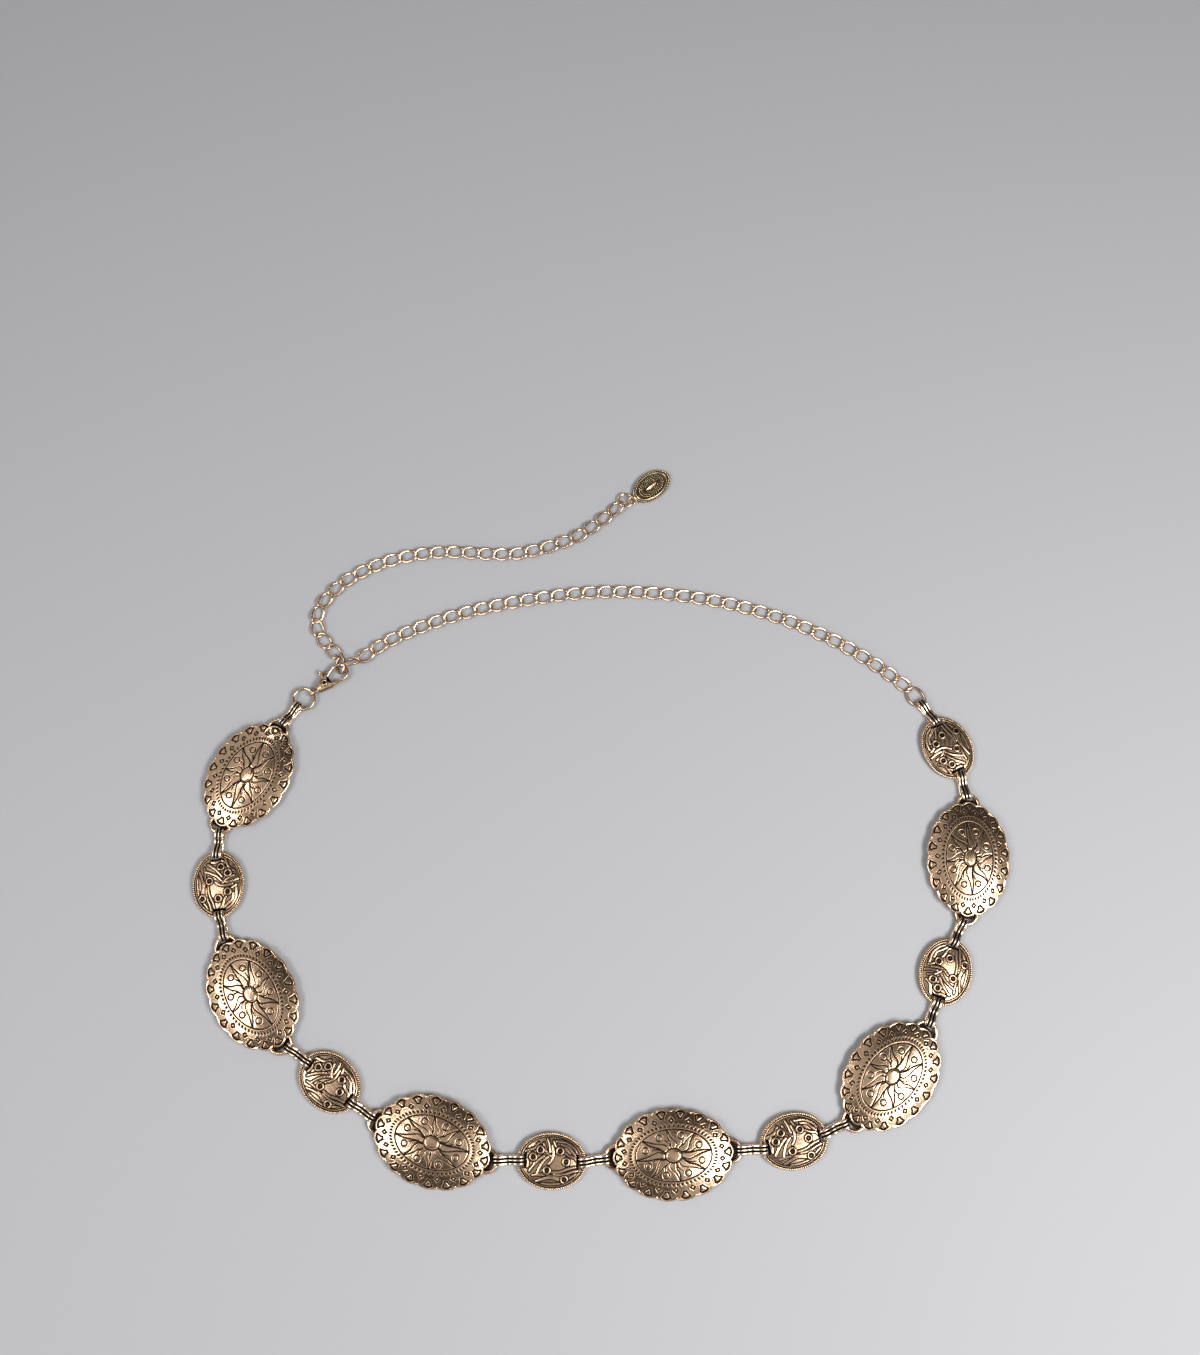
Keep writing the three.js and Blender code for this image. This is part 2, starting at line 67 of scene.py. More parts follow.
# Its engraved design: each ring of the design as a share of the half length
BOSS_SHARE = 0.136
SUN_SHARE = 0.631
DOTS_SHARE = 0.708
DIAMOND_SHARE = 0.83
FAN_POINT_SHARE = 0.85
FAN_ARC_SHARE = 0.966
RAYS = 8
RAY_START = math.radians(8)
RAY_FOOT = 0.215
SUN_WIDTH = 16.4
CURL_LEAN = math.radians(-3)
DOTS = 60
# How much wider or narrower than the outline the design's rings are, by share
WIDTH_SHARES = [0, 0.14, 0.4, 0.63, 0.72, 0.83, 1.0]
WIDTH_FACTORS = [1.06, 1.05, 0.93, 0.886, 0.89, 0.922, 1.0]

# The wire loops under the large medallion's ends, each closed by a sheet painted black as painted shade
# inside the loop
LOOP_RADIUS = 4.6
LOOP_WIRE = 0.76
LOOP_CENTRE = 23.6
LOOP_FOOT = 1.1
LOOP_HEIGHT = 1.75
LOOP_SHADE_SHEET = [(21.6, -3.6), (25.0, -3.95), (25.9, -3.3), (25.9, 3.3), (25.0, 3.95), (21.6, 3.6)]
SHADE_SHEET_BOTTOM = 0.95
SHADE_SHEET_TOP = 1.5

# The small medallion
SMALL_LENGTH = 14.48
SMALL_WIDTH = 11.27
SMALL_UNDERSIDE = 1.1
SMALL_FIELD_TOP = 1.95
SMALL_RIM_TOP = 2.6
SMALL_DOME = 1.3
SLOT_INNER = 10.2
SLOT_OUTER = 12.6
SLOT_HALF_WIDTH = 3.1
# The leaning wall in each slot, painted black as painted shade: its section from the slot's inner side,
# and its half width
SLOT_WALL = [
    (-0.4, 1.6), (0.02, 1.6), (0.45, 0.9), (1.05, 0.3), (1.0, 0.12), (0.7, 0.15), (0, 0.75),
]
SLOT_WALL_REACH = 3.4
FLUTES = 96
# Faces that look down more steeply than this are shaded flat
FLAT_BELOW = -0.98

# The strap link's three reeds
STRAP_LOOP_END = -2.05
STRAP_BAR_END = 11.1
STRAP_LOOP_TOP = 3.5
STRAP_BAR_TOP = 3.6
REED_SPACING = 1.36
REED_HALF_WIDTH = 0.73
REED_HALF_THICKNESS = 0.38

# Ring, clasp and chains
RING_RADIUS = 4.8
RING_WIRE = 0.65
CLASP_TURN = math.radians(40)
RIVET_U = 4.7
RIVET_V = 0.3
EYE_HEIGHT = 1.98
EYE_BACK = 2.3
HOOK_HEIGHT = 2.3
PITCH = 7.3
LINK_HALF_WIDTH = 2.65
LINK_WIRE = 0.56
LINK_OVERLAP = 0.47
LINK_TWIST = 0.58
CHAIN_HEIGHT = 1.22
# The link on the hook, from the clasp's neck; the last link of the main chain; the tail's end
HELD_ALONG = 15.4
HELD_ACROSS = 2.9
HELD_TURN = CLASP_TURN + math.radians(56)
LAST_TURN = math.radians(125)
LAST_LENGTH = 8.8
TAIL_TURN = math.radians(42)

# The tag, its leaning loop and its ring
TAG_RING_PLACE = np.array([12.05, 85.36, 1.8])
TAG_RING_RADIUS = 3.2
TAG_RING_WIRE = 0.45
TAG_PLACE = np.array([24.2, 92.6, 0.0])
TAG_TURN = math.radians(40)
TAG_LENGTH = 10.28
TAG_WIDTH = 6.42
TAG_UNDERSIDE = 0.9
TAG_FIELD = 1.75
TAG_TOP = 2.2
TAG_LOOP_RADIUS = 1.75
TAG_LOOP_WIRE = 0.45
BEADS = 58

# How recessed a point is, or how much painted shade it carries: 0 on open metal, fully black from about
# 1 on, and never more than this
DEEPEST = 1.6

# Each metal's bright and deep tone, its blackening for recesses and painted shade, roughness, film of
# tarnish and bump
METALS = {
    "Antique brass": ((0.90, 0.62, 0.40), (0.82, 0.54, 0.34), (0.012, 0.007, 0.005), 0.2, 0.2, 0.03),
    # painted highlight: the straps' brass is a lighter copy of the medallions' brass
    "Strap brass with painted highlight": ((0.98, 0.76, 0.55), (0.90, 0.66, 0.46), (0.01, 0.007, 0.008), 0.2, 0.1, 0.04),
    "Light gold plate": ((0.82, 0.59, 0.38), (0.72, 0.50, 0.31), (0.015, 0.008, 0.005), 0.2, 0.1, 0.05),
    "Rose gold plate": ((0.95, 0.66, 0.44), (0.88, 0.58, 0.37), (0.09, 0.035, 0.015), 0.18, 0.1, 0.04),
    "Dark brass": ((0.96, 0.72, 0.44), (0.88, 0.64, 0.38), (0.03, 0.02, 0.01), 0.26, 0.2, 0.08),
}
# How much rougher scratches and blackening make a metal
SCRATCH_DULLING = 0.10
BLACK_DULLING = 0.35

# The medallions in belt order, and the chain's routes, as laid out in the part
BELT_ORDER = [f"{size}_medallion_{k}" for k in range(1, 7) for size in ("large", "small")]
MAIN_ROUTE = [
    (-109.3, 7.9), (-103.0, 12.9), (-96.3, 17.1), (-76.5, 25.6), (-56.1, 31.9), (-32.3, 36.7),
    (-4.6, 40.1), (23.1, 39.9), (50.8, 36.5), (78.2, 29.5), (105.3, 18.1), (124.8, 6.3),
]
TAIL_ROUTE = [
    (-123.5, 14.1), (-127.6, 18.4), (-130.6, 24.4), (-129.6, 31.6), (-122.0, 42.2),
    (-110.2, 50.3), (-96.8, 55.9), (-82.9, 58.9), (-68.0, 59.9), (-53.1, 58.9), (-38.7, 58.9),
    (-24.3, 62.3), (-10.8, 67.3),
]

# The small medallion's leafy relief: points in hundredths of its half length and width
BRANCHES = [
    [(-38, 62), (-48, 45), (-76, 32)],
    [(-23, 62), (-17, 40), (-3, 20)],
    [(2, 56), (6, 30), (3, 10), (-7, -8)],
    [(-12, 78), (-6, 56), (-4, 34)],
    [(6, 70), (14, 52), (22, 46)],
    [(14, 70), (42, 66), (66, 46), (76, 26)],
    [(30, 58), (48, 52), (60, 34), (72, 18)],
    [(32, 36), (48, 22), (66, 14), (74, 2)],
    [(-10, 16), (-24, -2), (-34, -24), (-40, -44)],
    [(-22, 18), (-38, 2), (-52, -18), (-62, -36)],
    [(-46, 0), (-50, -14), (-60, -30)],
    [(-72, 12), (-66, -4), (-68, -22)],
    [(-52, -50), (-24, -46), (6, -52), (28, -56)],
    [(-44, -72), (-24, -62), (0, -56), (24, -64)],
    [(0, -36), (26, -34), (52, -22), (76, -16)],
    [(10, -44), (36, -44), (60, -34), (78, -30)],
    [(48, -62), (60, -50), (74, -42)],
    [(-26, -80), (2, -80), (30, -76)],
    [(-62, 30), (-70, 20), (-74, 6)],
]
BERRIES = [(-32, 40), (-52, 14), (24, 37), (42, 0), (-12, -31), (38, -62)]


# Helpers for shapes

class Form:
    """A mesh in the making: points in millimetres, faces, and how recessed each point is or how much
    painted shade it carries.
    """

    def __init__(self):
        self.points = []
        self.faces = []
        self.recess = []
        self.count = 0

    def ring(self, points, recess=0.0):
        """Adds a row of points and returns their indices."""
        points = np.asarray(points, float).reshape(-1, 3)
        self.points.append(points)
        self.recess.append(np.broadcast_to(np.asarray(recess, float), (len(points),)))
        indices = np.arange(self.count, self.count + len(points))
        self.count += len(points)
        return indices

    def bridge(self, inner, outer):
        """Faces between two closed rows; the outer one has as many points or twice as many."""
        for k in range(len(inner)):
            a, b = inner[k], inner[(k + 1) % len(inner)]
            if len(outer) == len(inner):
                self.faces.append((a, outer[k], outer[(k + 1) % len(outer)], b))
                continue
            first, middle, last = (outer[(2 * k + step) % len(outer)] for step in range(3))
            self.faces.append((a, first, middle))
            self.faces.append((a, middle, b))
            self.faces.append((b, middle, last))

    def skin(self, rows):
        """Faces between each row and the next."""
        for inner, outer in zip(rows[:-1], rows[1:]):
            self.bridge(inner, outer)

    def hull(self, rows):
        """Faces between each row and the next, and a flat one over each end."""
        self.skin(rows)
        self.cap(rows[0][::-1])
        self.cap(rows[-1])

    def cap(self, row):
        """One flat face over a closed row."""
        self.faces.append(tuple(row))

    def grow(self, row_before, points, recess):
        """A row of points with faces to the row before it."""
        row = self.ring(points, recess)
        self.bridge(row, row_before)
        return row

    def peak(self, row, height, recess=0.0, turned=False):
        """A point in the middle with faces to a closed row."""
        tip = self.ring([[0, 0, height]], recess)[0]
        for k in range(len(row)):
            a, b = row[k], row[(k + 1) % len(row)]
            self.faces.append((tip, b, a) if turned else (tip, a, b))

    def mesh(self, name):
        """The form as a smooth Blender mesh in metres."""
        mesh = bpy.data.meshes.new(name)
        points = np.concatenate(self.points) * MM
        mesh.from_pydata(points.tolist(), [], [tuple(int(i) for i in face) for face in self.faces])
        attribute = mesh.attributes.new("recess", "FLOAT", "POINT")
        attribute.data.foreach_set("value", np.concatenate(self.recess).astype(np.float32))
        mesh.shade_smooth()
        tidy = bmesh.new()
        tidy.from_mesh(mesh)
        bmesh.ops.recalc_face_normals(tidy, faces=tidy.faces)
        tidy.to_mesh(mesh)
        tidy.free()
        return mesh


def unit(vector):
    return vector / np.linalg.norm(vector, axis=-1, keepdims=True)


def heading(angle):
    """A unit vector on the table at an angle in radians."""
    return np.array([math.cos(angle), math.sin(angle), 0.0])


def blend(first, last, start, end, stops):
    """Points on the way from one at start to another at end."""
    return first + (last - first) * (stops - start) / (end - start)


def smooth_line(points, count, closed=False):
    """Evenly spaced points on a centripetal Catmull-Rom curve through a few."""
    points = np.asarray(points, float)
    if closed:
        padded = np.vstack([points[-1], points, points[0], points[1]])
    else:
        padded = np.vstack([2 * points[0] - points[1], points, 2 * points[-1] - points[-2]])
    dense = []
    for k in range(1, len(padded) - 2):
        a, b, c, d = padded[k - 1:k + 3]
        knots = [0.0]
        for first, second in ((a, b), (b, c), (c, d)):
            knots.append(knots[-1] + max(np.linalg.norm(second - first), 1e-9) ** 0.5)
        stops = np.linspace(knots[1], knots[2], 24, endpoint=False)[:, None]
        ab = blend(a, b, knots[0], knots[1], stops)
        bc = blend(b, c, knots[1], knots[2], stops)
        cd = blend(c, d, knots[2], knots[3], stops)
        abc = blend(ab, bc, knots[0], knots[2], stops)
        bcd = blend(bc, cd, knots[1], knots[3], stops)
        dense.append(blend(abc, bcd, knots[1], knots[2], stops))
    dense.append(points[:1] if closed else points[-1:])
    dense = np.concatenate(dense)
    reach = np.concatenate([[0], np.cumsum(np.linalg.norm(np.diff(dense, axis=0), axis=1))])
    stops = np.linspace(0, reach[-1], count, endpoint=not closed)
    return np.stack([np.interp(stops, reach, dense[:, k]) for k in range(dense.shape[1])], axis=1)


def add_wire(form, line, thick, deep=None, up=UP, closed=False, sides=12, recess=0.0, under=0.0):
    """A wire along a line, thick across and deep along up, with rounded ends if it is open.

    Its underside and flanks can be painted darker than its top, as painted shade."""
    line = np.asarray(line, float)
    thick = np.broadcast_to(np.asarray(thick, float), (len(line),))
    deep = thick if deep is None else np.broadcast_to(np.asarray(deep, float), (len(line),))
    if closed:
        tangent = unit(np.roll(line, -1, axis=0) - np.roll(line, 1, axis=0))
    else:
        tangent = unit(np.gradient(line, axis=0))
        turns = np.radians([25, 50, 75])
        head = [line[0] - tangent[0] * thick[0] * math.sin(t) for t in turns[::-1]]
        tail = [line[-1] + tangent[-1] * thick[-1] * math.sin(t) for t in turns]
        shrink = np.cos(turns)
        line = np.vstack([head, line, tail])
        tangent = np.vstack([[tangent[0]] * len(turns), tangent, [tangent[-1]] * len(turns)])
        deep = np.concatenate([deep[0] * shrink[::-1], deep, deep[-1] * shrink])
        thick = np.concatenate([thick[0] * shrink[::-1], thick, thick[-1] * shrink])
    outward = unit(np.cross(tangent, up))
    upward = np.cross(outward, tangent)
    angle = round_angles(sides)
    # painted shade: the wire's flanks and underside are made darker than its top, added to any recess
    # given
    patina_and_under_shade = recess + under * (1 - ramp(np.sin(angle), 0.1, 0.75))
    rows = []
    for k in range(len(line)):
        across = outward[k] * thick[k] * np.cos(angle)[:, None]
        rising = upward[k] * deep[k] * np.sin(angle)[:, None]
        rows.append(form.ring(line[k] + across + rising, patina_and_under_shade))
    if closed:
        form.skin(rows + rows[:1])
    else:
        form.hull(rows)


def rounded_corners(corners, radius):
    """A closed outline with each corner cut to a small curve of four points."""
    corners = np.asarray(corners, float)
    outline = []
    for k, corner in enumerate(corners):
        before = corners[k - 1] - corner
        after = corners[(k + 1) % len(corners)] - corner
        reach = min(radius, np.linalg.norm(before) * 0.45, np.linalg.norm(after) * 0.45)
        start = corner + unit(before) * reach
        end = corner + unit(after) * reach
        for t in np.linspace(0, 1, 4):
            outline.append((1 - t) ** 2 * start + 2 * t * (1 - t) * corner + t ** 2 * end)
    return np.array(outline)


def inset(outline, amount):
    """A closed counterclockwise outline moved inward by an amount."""
    along = unit(np.roll(outline, -1, axis=0) - np.roll(outline, 1, axis=0))
    inward = np.stack([-along[:, 1], along[:, 0]], axis=1)
    return outline + inward * amount


def at_height(outline, height):
    """The points of a flat outline at a height."""
    return np.column_stack([outline, np.full(len(outline), height)])


def round_angles(count):
    """Evenly spaced angles round a full turn."""
    return np.arange(count) * TURN / count


def oval(half_length, half_width, angle, height):
    """The points of an oval at a height, one for each angle."""
    points = np.column_stack([half_length * np.cos(angle), half_width * np.sin(angle)])
    return at_height(points, height)


def add_plate(form, outline, bottom, top, edge, crown=0.0, flank_shade=0.0, recess=0.0):
    """A plate with rounded edges from a counterclockwise outline: its top face can be slightly
    crowned, its sides and underside painted darker as painted shade, or all of it recessed."""
    rows = []
    for angle in np.radians([0, 30, 60, 90]):
        row = inset(outline, edge * (1 - math.sin(angle)))
        height = bottom + edge * (1 - math.cos(angle))
        # painted shade: the plate's sides and underside are made darker than its top face
        rows.append(form.ring(at_height(row, height), recess + flank_shade * 0.4))
    for angle in np.radians([90, 60, 30, 0]):
        row = inset(outline, edge * (1 - math.sin(angle)))
        height = top - edge * (1 - math.cos(angle))
        rows.append(form.ring(at_height(row, height), recess + flank_shade * math.sin(angle)))
    if crown:
        middle = outline.mean(axis=0)
        for share in (0.7, 0.4):
            row = middle + (inset(outline, edge) - middle) * share
            rows.append(form.ring(at_height(row, top + crown * (1 - share ** 2))))
    form.hull(rows)


def add_top(form, zones, row_at):
    """The upper face of a casting: rows from its middle out, with more points in each zone."""
    rows = []
    for columns, shares in zones:
        angle = round_angles(columns)
        for share in shares:
            points, recess = row_at(np.full(columns, share), angle)
            rows.append(form.ring(points, recess))
    form.skin(rows)
    return rows


def bell(distance, width):
    """1 on a line, falling to 0 over about twice the width."""
    return np.exp(-(distance / width) ** 2)


def ramp(value, low, high):
    """0 below low, 1 above high and smooth between."""
    t = np.clip((value - low) / (high - low), 0, 1)
    return t * t * (3 - 2 * t)


def line_distance(x, y, line):
    """How far each point is from a line of short pieces."""
    nearest = np.full(np.shape(x), np.inf)
    for (ax, ay), (bx, by) in zip(line[:-1], line[1:]):
        dx, dy = bx - ax, by - ay
        t = np.clip(((x - ax) * dx + (y - ay) * dy) / (dx * dx + dy * dy), 0, 1)
        nearest = np.minimum(nearest, np.hypot(x - ax - t * dx, y - ay - t * dy))
    return nearest


# Where the frame's nodes lie

def middle_of(solid):
    low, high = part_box(solid)
    return np.array((low + high) / 2) / MM


def lie_of(solid, hint):
    """A node's middle on the table and the direction of its long axis, on the hint's side.

    The axis is the one along which the node's surface is spread out most."""
    mesh = frame["nodes"][solid].data
    mesh.calc_loop_triangles()
    points = np.array([vertex.co for vertex in mesh.vertices]) / MM
    corners = points[np.array([triangle.vertices for triangle in mesh.loop_triangles])]
    first_edge = corners[:, 1] - corners[:, 0]
    last_edge = corners[:, 2] - corners[:, 0]
    areas = np.linalg.norm(np.cross(first_edge, last_edge), axis=1)
    flat = corners[:, :, :2] - np.average(corners.mean(axis=1)[:, :2], axis=0, weights=areas)
    whole = flat.sum(axis=1)
    spread = np.einsum("t,tci,tcj->ij", areas, flat, flat)
    spread += np.einsum("t,ti,tj->ij", areas, whole, whole)
    axis = np.append(np.linalg.eigh(spread)[1][:, 1], 0)
    if axis @ hint < 0:
        axis = -axis
    middle = np.zeros(3)
    for direction in (axis, np.cross(UP, axis)):
        reach = points @ direction
        middle += direction * (reach.min() + reach.max()) / 2
    return middle, axis


def place(middle, axis):
    """The matrix that lays a form with +X along an axis on the table."""
    matrix = Matrix.Identity(4)
    for column, direction in enumerate((axis, np.cross(UP, axis), UP, middle * MM)):
        for row in range(3):
            matrix[row][column] = direction[row]
    return matrix


def put_in_scene(name, data):
    """A new object with a mesh, a lamp or a camera."""
    made = bpy.data.objects.new(name, data)
    bpy.context.scene.collection.objects.link(made)
    return made


def dress(name, mesh, material, solid, body="belt", matrix=None):
    """A piece of the belt that stands for its solid."""
    if matrix is not None:
        mesh = mesh.copy()
        mesh.transform(matrix)
    mesh.materials.append(material)
    piece = put_in_scene(name, mesh)
    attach(piece, body)
    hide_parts(solid)


# Materials

def new_group(name, inputs, outputs):
    """A shader node group whose named sockets are all numbers."""
    group = bpy.data.node_groups.new(name, "ShaderNodeTree")
    for socket, start in inputs.items():
        made = group.interface.new_socket(socket, in_out="INPUT", socket_type="NodeSocketFloat")
        made.default_value = start
    for socket in outputs:
        group.interface.new_socket(socket, in_out="OUTPUT", socket_type="NodeSocketFloat")
    return group, group.nodes.new("NodeGroupInput"), group.nodes.new("NodeGroupOutput")


def fill(made, values):
    """Gives a node's sockets their numbers and colours, or links other nodes' outputs to them."""
    for name, value in values.items():
        socket = made.inputs[name]
        if isinstance(value, bpy.types.NodeSocket):
            made.id_data.links.new(value, socket)
        elif socket.type == "RGBA":
            socket.default_value = (*value, 1)
        else:
            socket.default_value = value


def node(tree, kind, values, **settings):
    """A node with its settings, and what goes into its sockets."""
    made = tree.nodes.new(kind)
    for setting, value in settings.items():
        setattr(made, setting, value)
    fill(made, values)
    return made


def maths(tree, operation, *values, clamp=False):
    """A Math node on links or numbers, and its output."""
    sockets = dict(enumerate(values))
    made = node(tree, "ShaderNodeMath", sockets, operation=operation, use_clamp=clamp)
    return made.outputs[0]


def mix_colour(tree, factor, first, second):
    """A colour mix of links or plain colours, and its output."""
    # The node's sockets for two colours come after those for numbers and vectors
    sockets = {"Factor": factor, 6: first, 7: second}
    return node(tree, "ShaderNodeMix", sockets, data_type="RGBA").outputs[2]


def noise(tree, place_on, scale, detail, roughness=0.5):
    """A Noise texture's value."""
    sockets = {"Vector": place_on, "Scale": scale, "Detail": detail, "Roughness": roughness}
    return node(tree, "ShaderNodeTexNoise", sockets).outputs["Fac"]


def object_place(tree):
    return node(tree, "ShaderNodeTexCoord", {}).outputs["Object"]


def patina_and_shade_group():
    """Blackening of the recesses and of painted shade: full in the recesses and where shade is painted,
    with a cloudy edge and a thin film over the rest.
    """
    sockets = {"Recess": 0.0, "Reach": 1.0, "Film": 0.2, "Scale": 900.0}
    group, given, result = new_group("Blackened recesses and painted shade", sockets, ["Mask"])
    recess, reach, film, scale = (given.outputs[name] for name in sockets)
    cloud = noise(group, object_place(group), scale, 5.0, 0.6)
    uneven = maths(group, "MULTIPLY_ADD", cloud, 0.7, 0.65)
    deep = maths(group, "MULTIPLY", maths(group, "MULTIPLY", recess, reach), uneven)
    film = maths(group, "MULTIPLY", maths(group, "SUBTRACT", cloud, 0.45), film)
    film = maths(group, "MAXIMUM", film, 0.0)
    fill(result, {"Mask": maths(group, "ADD", deep, film, clamp=True)})
    return group


def scratch_group():
    """The height of fine scratches in two directions."""
    group, given, result = new_group("Fine scratches", {"Scale": 1.0, "Turn": 0.6}, ["Height"])
    place_on = object_place(group)
    heights = []
    for turn_share in (1.0, -1.4):
        angle = maths(group, "MULTIPLY", given.outputs["Turn"], turn_share)
        sockets = {"Vector": place_on, "Angle": angle}
        turned = node(group, "ShaderNodeVectorRotate", sockets, rotation_type="Z_AXIS")
        sockets = {"Vector": turned.outputs["Vector"], "Scale": (60.0, 2400.0, 600.0)}
        stretched = node(group, "ShaderNodeMapping", sockets).outputs["Vector"]
        heights.append(noise(group, stretched, given.outputs["Scale"], 2.0))
    fill(result, {"Height": maths(group, "ADD", *heights)})
    return group


def grain_group():
    """The slightly uneven skin of cast metal: waves a few millimetres long and a fine grain."""
    sockets = {"Wave scale": 260.0, "Grain scale": 2600.0, "Grain": 0.3}
    group, given, result = new_group("Cast skin", sockets, ["Height", "Cloud"])
    wave_scale, grain_scale, grain = (given.outputs[name] for name in sockets)
    place_on = object_place(group)
    wave = noise(group, place_on, wave_scale, 2.0)
    fine = maths(group, "MULTIPLY", noise(group, place_on, grain_scale, 3.0), grain)
    fill(result, {"Height": maths(group, "ADD", wave, fine), "Cloud": wave})
    return group


def metal(name, bright, deep, blackened, roughness, film, bump, groups):
    """A plated or cast metal: two tones, blackening in the recesses and as painted shade, scratches and
    a cast skin.
    """
    material = bpy.data.materials.new(name)
    material.use_nodes = True
    tree = material.node_tree
    recess_and_shade_group, scratches, skin = groups
    # the recess attribute holds both blackened recesses and painted shade on flanks, slot walls, loop
    # sheets, the rivet's dimple and the strap's grooves
    recess = node(tree, "ShaderNodeAttribute", {}, attribute_name="recess").outputs["Fac"]
    sockets = {"Recess": recess, "Film": film}
    black = node(tree, "ShaderNodeGroup", sockets, node_tree=recess_and_shade_group).outputs["Mask"]
    skinned = node(tree, "ShaderNodeGroup", {}, node_tree=skin).outputs
    scratched = node(tree, "ShaderNodeGroup", {}, node_tree=scratches).outputs["Height"]
    tone = mix_colour(tree, skinned["Cloud"], bright, deep)
    dull = maths(tree, "MULTIPLY_ADD", scratched, SCRATCH_DULLING, roughness - SCRATCH_DULLING)
    height = maths(tree, "MULTIPLY_ADD", scratched, 0.06, skinned["Height"])
    sockets = {"Strength": bump, "Distance": 0.0004, "Height": height}
    raised = node(tree, "ShaderNodeBump", sockets)
    fill(tree.nodes["Principled BSDF"], {
        "Base Color": mix_colour(tree, black, tone, blackened),
        "Roughness": maths(tree, "MULTIPLY_ADD", black, BLACK_DULLING, dull),
        "Metallic": maths(tree, "MULTIPLY_ADD", black, -0.12, 1.0),
        "Normal": raised.outputs["Normal"],
    })
    return material


# The large medallion

def dome_height(x, y):
    share = np.hypot(x / LARGE_LENGTH, y / LARGE_WIDTH)
    return LARGE_CROWN - (LARGE_CROWN - LARGE_RIM_TOP) * np.minimum(share, 1) ** DOME_SWELL


def design_width(share):
    """The half width of the design's ring whose half length is a share of the medallion's."""
    return LARGE_WIDTH * share * np.interp(share, WIDTH_SHARES, WIDTH_FACTORS)


def scallop(angle, share):
    """How far the outline draws in at an angle, growing towards the rim."""
    lobe = np.abs(np.sin(SCALLOPS * (angle / 2 + math.pi / 2 / SCALLOPS)))
    return 1 - CUSP_DEPTH * (1 - lobe ** 0.7) * ramp(share, 0.9, 1.0)


def sun_relief(share, angle, x, y):
    """The engraved sun's height over the dome, and how recessed each point is.

    Rays with lips and grooves, a curved tail and a curl between each two, the oval line round
    them and the boss in the middle. Distances are in millimetres, across each line."""
    size = np.hypot(LARGE_LENGTH * np.cos(angle), SUN_WIDTH * np.sin(angle))
    off_ray = share * LARGE_LENGTH * SUN_WIDTH / size
    out = share / SUN_SHARE
    along_ray = np.clip((out - RAY_FOOT) / (1 - RAY_FOOT), 0, 1)
    bend = -0.2 * bell(along_ray - 0.22, 0.24)
    spoke = TURN / RAYS
    from_ray = (angle - RAY_START - bend + spoke / 2) % spoke - spoke / 2
    half = np.interp(along_ray, [0, 0.2, 1], [0.75, 1.3, 0.05])
    edge = np.abs(from_ray) * off_ray - half
    within = ramp(out, RAY_FOOT, RAY_FOOT + 0.05) * (1 - ramp(out, 0.97, 1.0))
    ray_body = 0.05 * ramp(-edge, 0.1, 0.7) * within
    line = np.interp(out, [0.25, 0.65], [0.19, 0.27])
    ray_lip = bell(edge + 0.36, 0.2) * within
    ray_groove = bell(edge, line) * within
    between = (angle - RAY_START) % spoke - spoke / 2
    tail_lean = np.interp(out, [0.3, 0.44, 0.63], [-0.3, -0.3, -0.13])
    tail_off = (between - tail_lean) * off_ray
    tail_on = ramp(out, 0.28, 0.34) * (1 - ramp(out, 0.58, 0.64))
    tail_lip = bell(tail_off - 0.4, 0.2) * tail_on
    tail_groove = bell(tail_off, line) * tail_on
    curl_share = 0.76 * SUN_SHARE
    sector = np.floor((angle - RAY_START) / spoke)
    curl_angle = RAY_START + CURL_LEAN + (sector + 0.5) * spoke
    curl_x = LARGE_LENGTH * curl_share * np.cos(curl_angle)
    curl_y = design_width(curl_share) * np.sin(curl_angle)
    from_curl = np.hypot(x - curl_x, y - curl_y)
    curl_lip = bell(from_curl - 1.68, 0.2) + 0.3 * ramp(-from_curl, -0.9, -0.6)
    curl_groove = bell(from_curl - 1.25, 0.25)
    from_edge = (share - SUN_SHARE) * size
    edge_lip = 0.4 * bell(from_edge - 0.5, 0.22) + 0.4 * bell(from_edge + 0.5, 0.22)
    boss = 0.4 * ramp(BOSS_SHARE - share, 0.0, 0.03)
    boss += 0.1 * np.clip(1 - (share / BOSS_SHARE) ** 2, 0, 1)
    boss_groove = bell((share - BOSS_SHARE) * size - 0.15, 0.24)
    lips = ray_lip + tail_lip + curl_lip + edge_lip
    dark_grooves = ray_groove + bell(from_edge, 0.27) + boss_groove
    fine_grooves = curl_groove + tail_groove
    height = ray_body + boss + 0.05 * lips - 0.14 * (dark_grooves + fine_grooves)
    return height, 2.0 * dark_grooves + 1.7 * fine_grooves


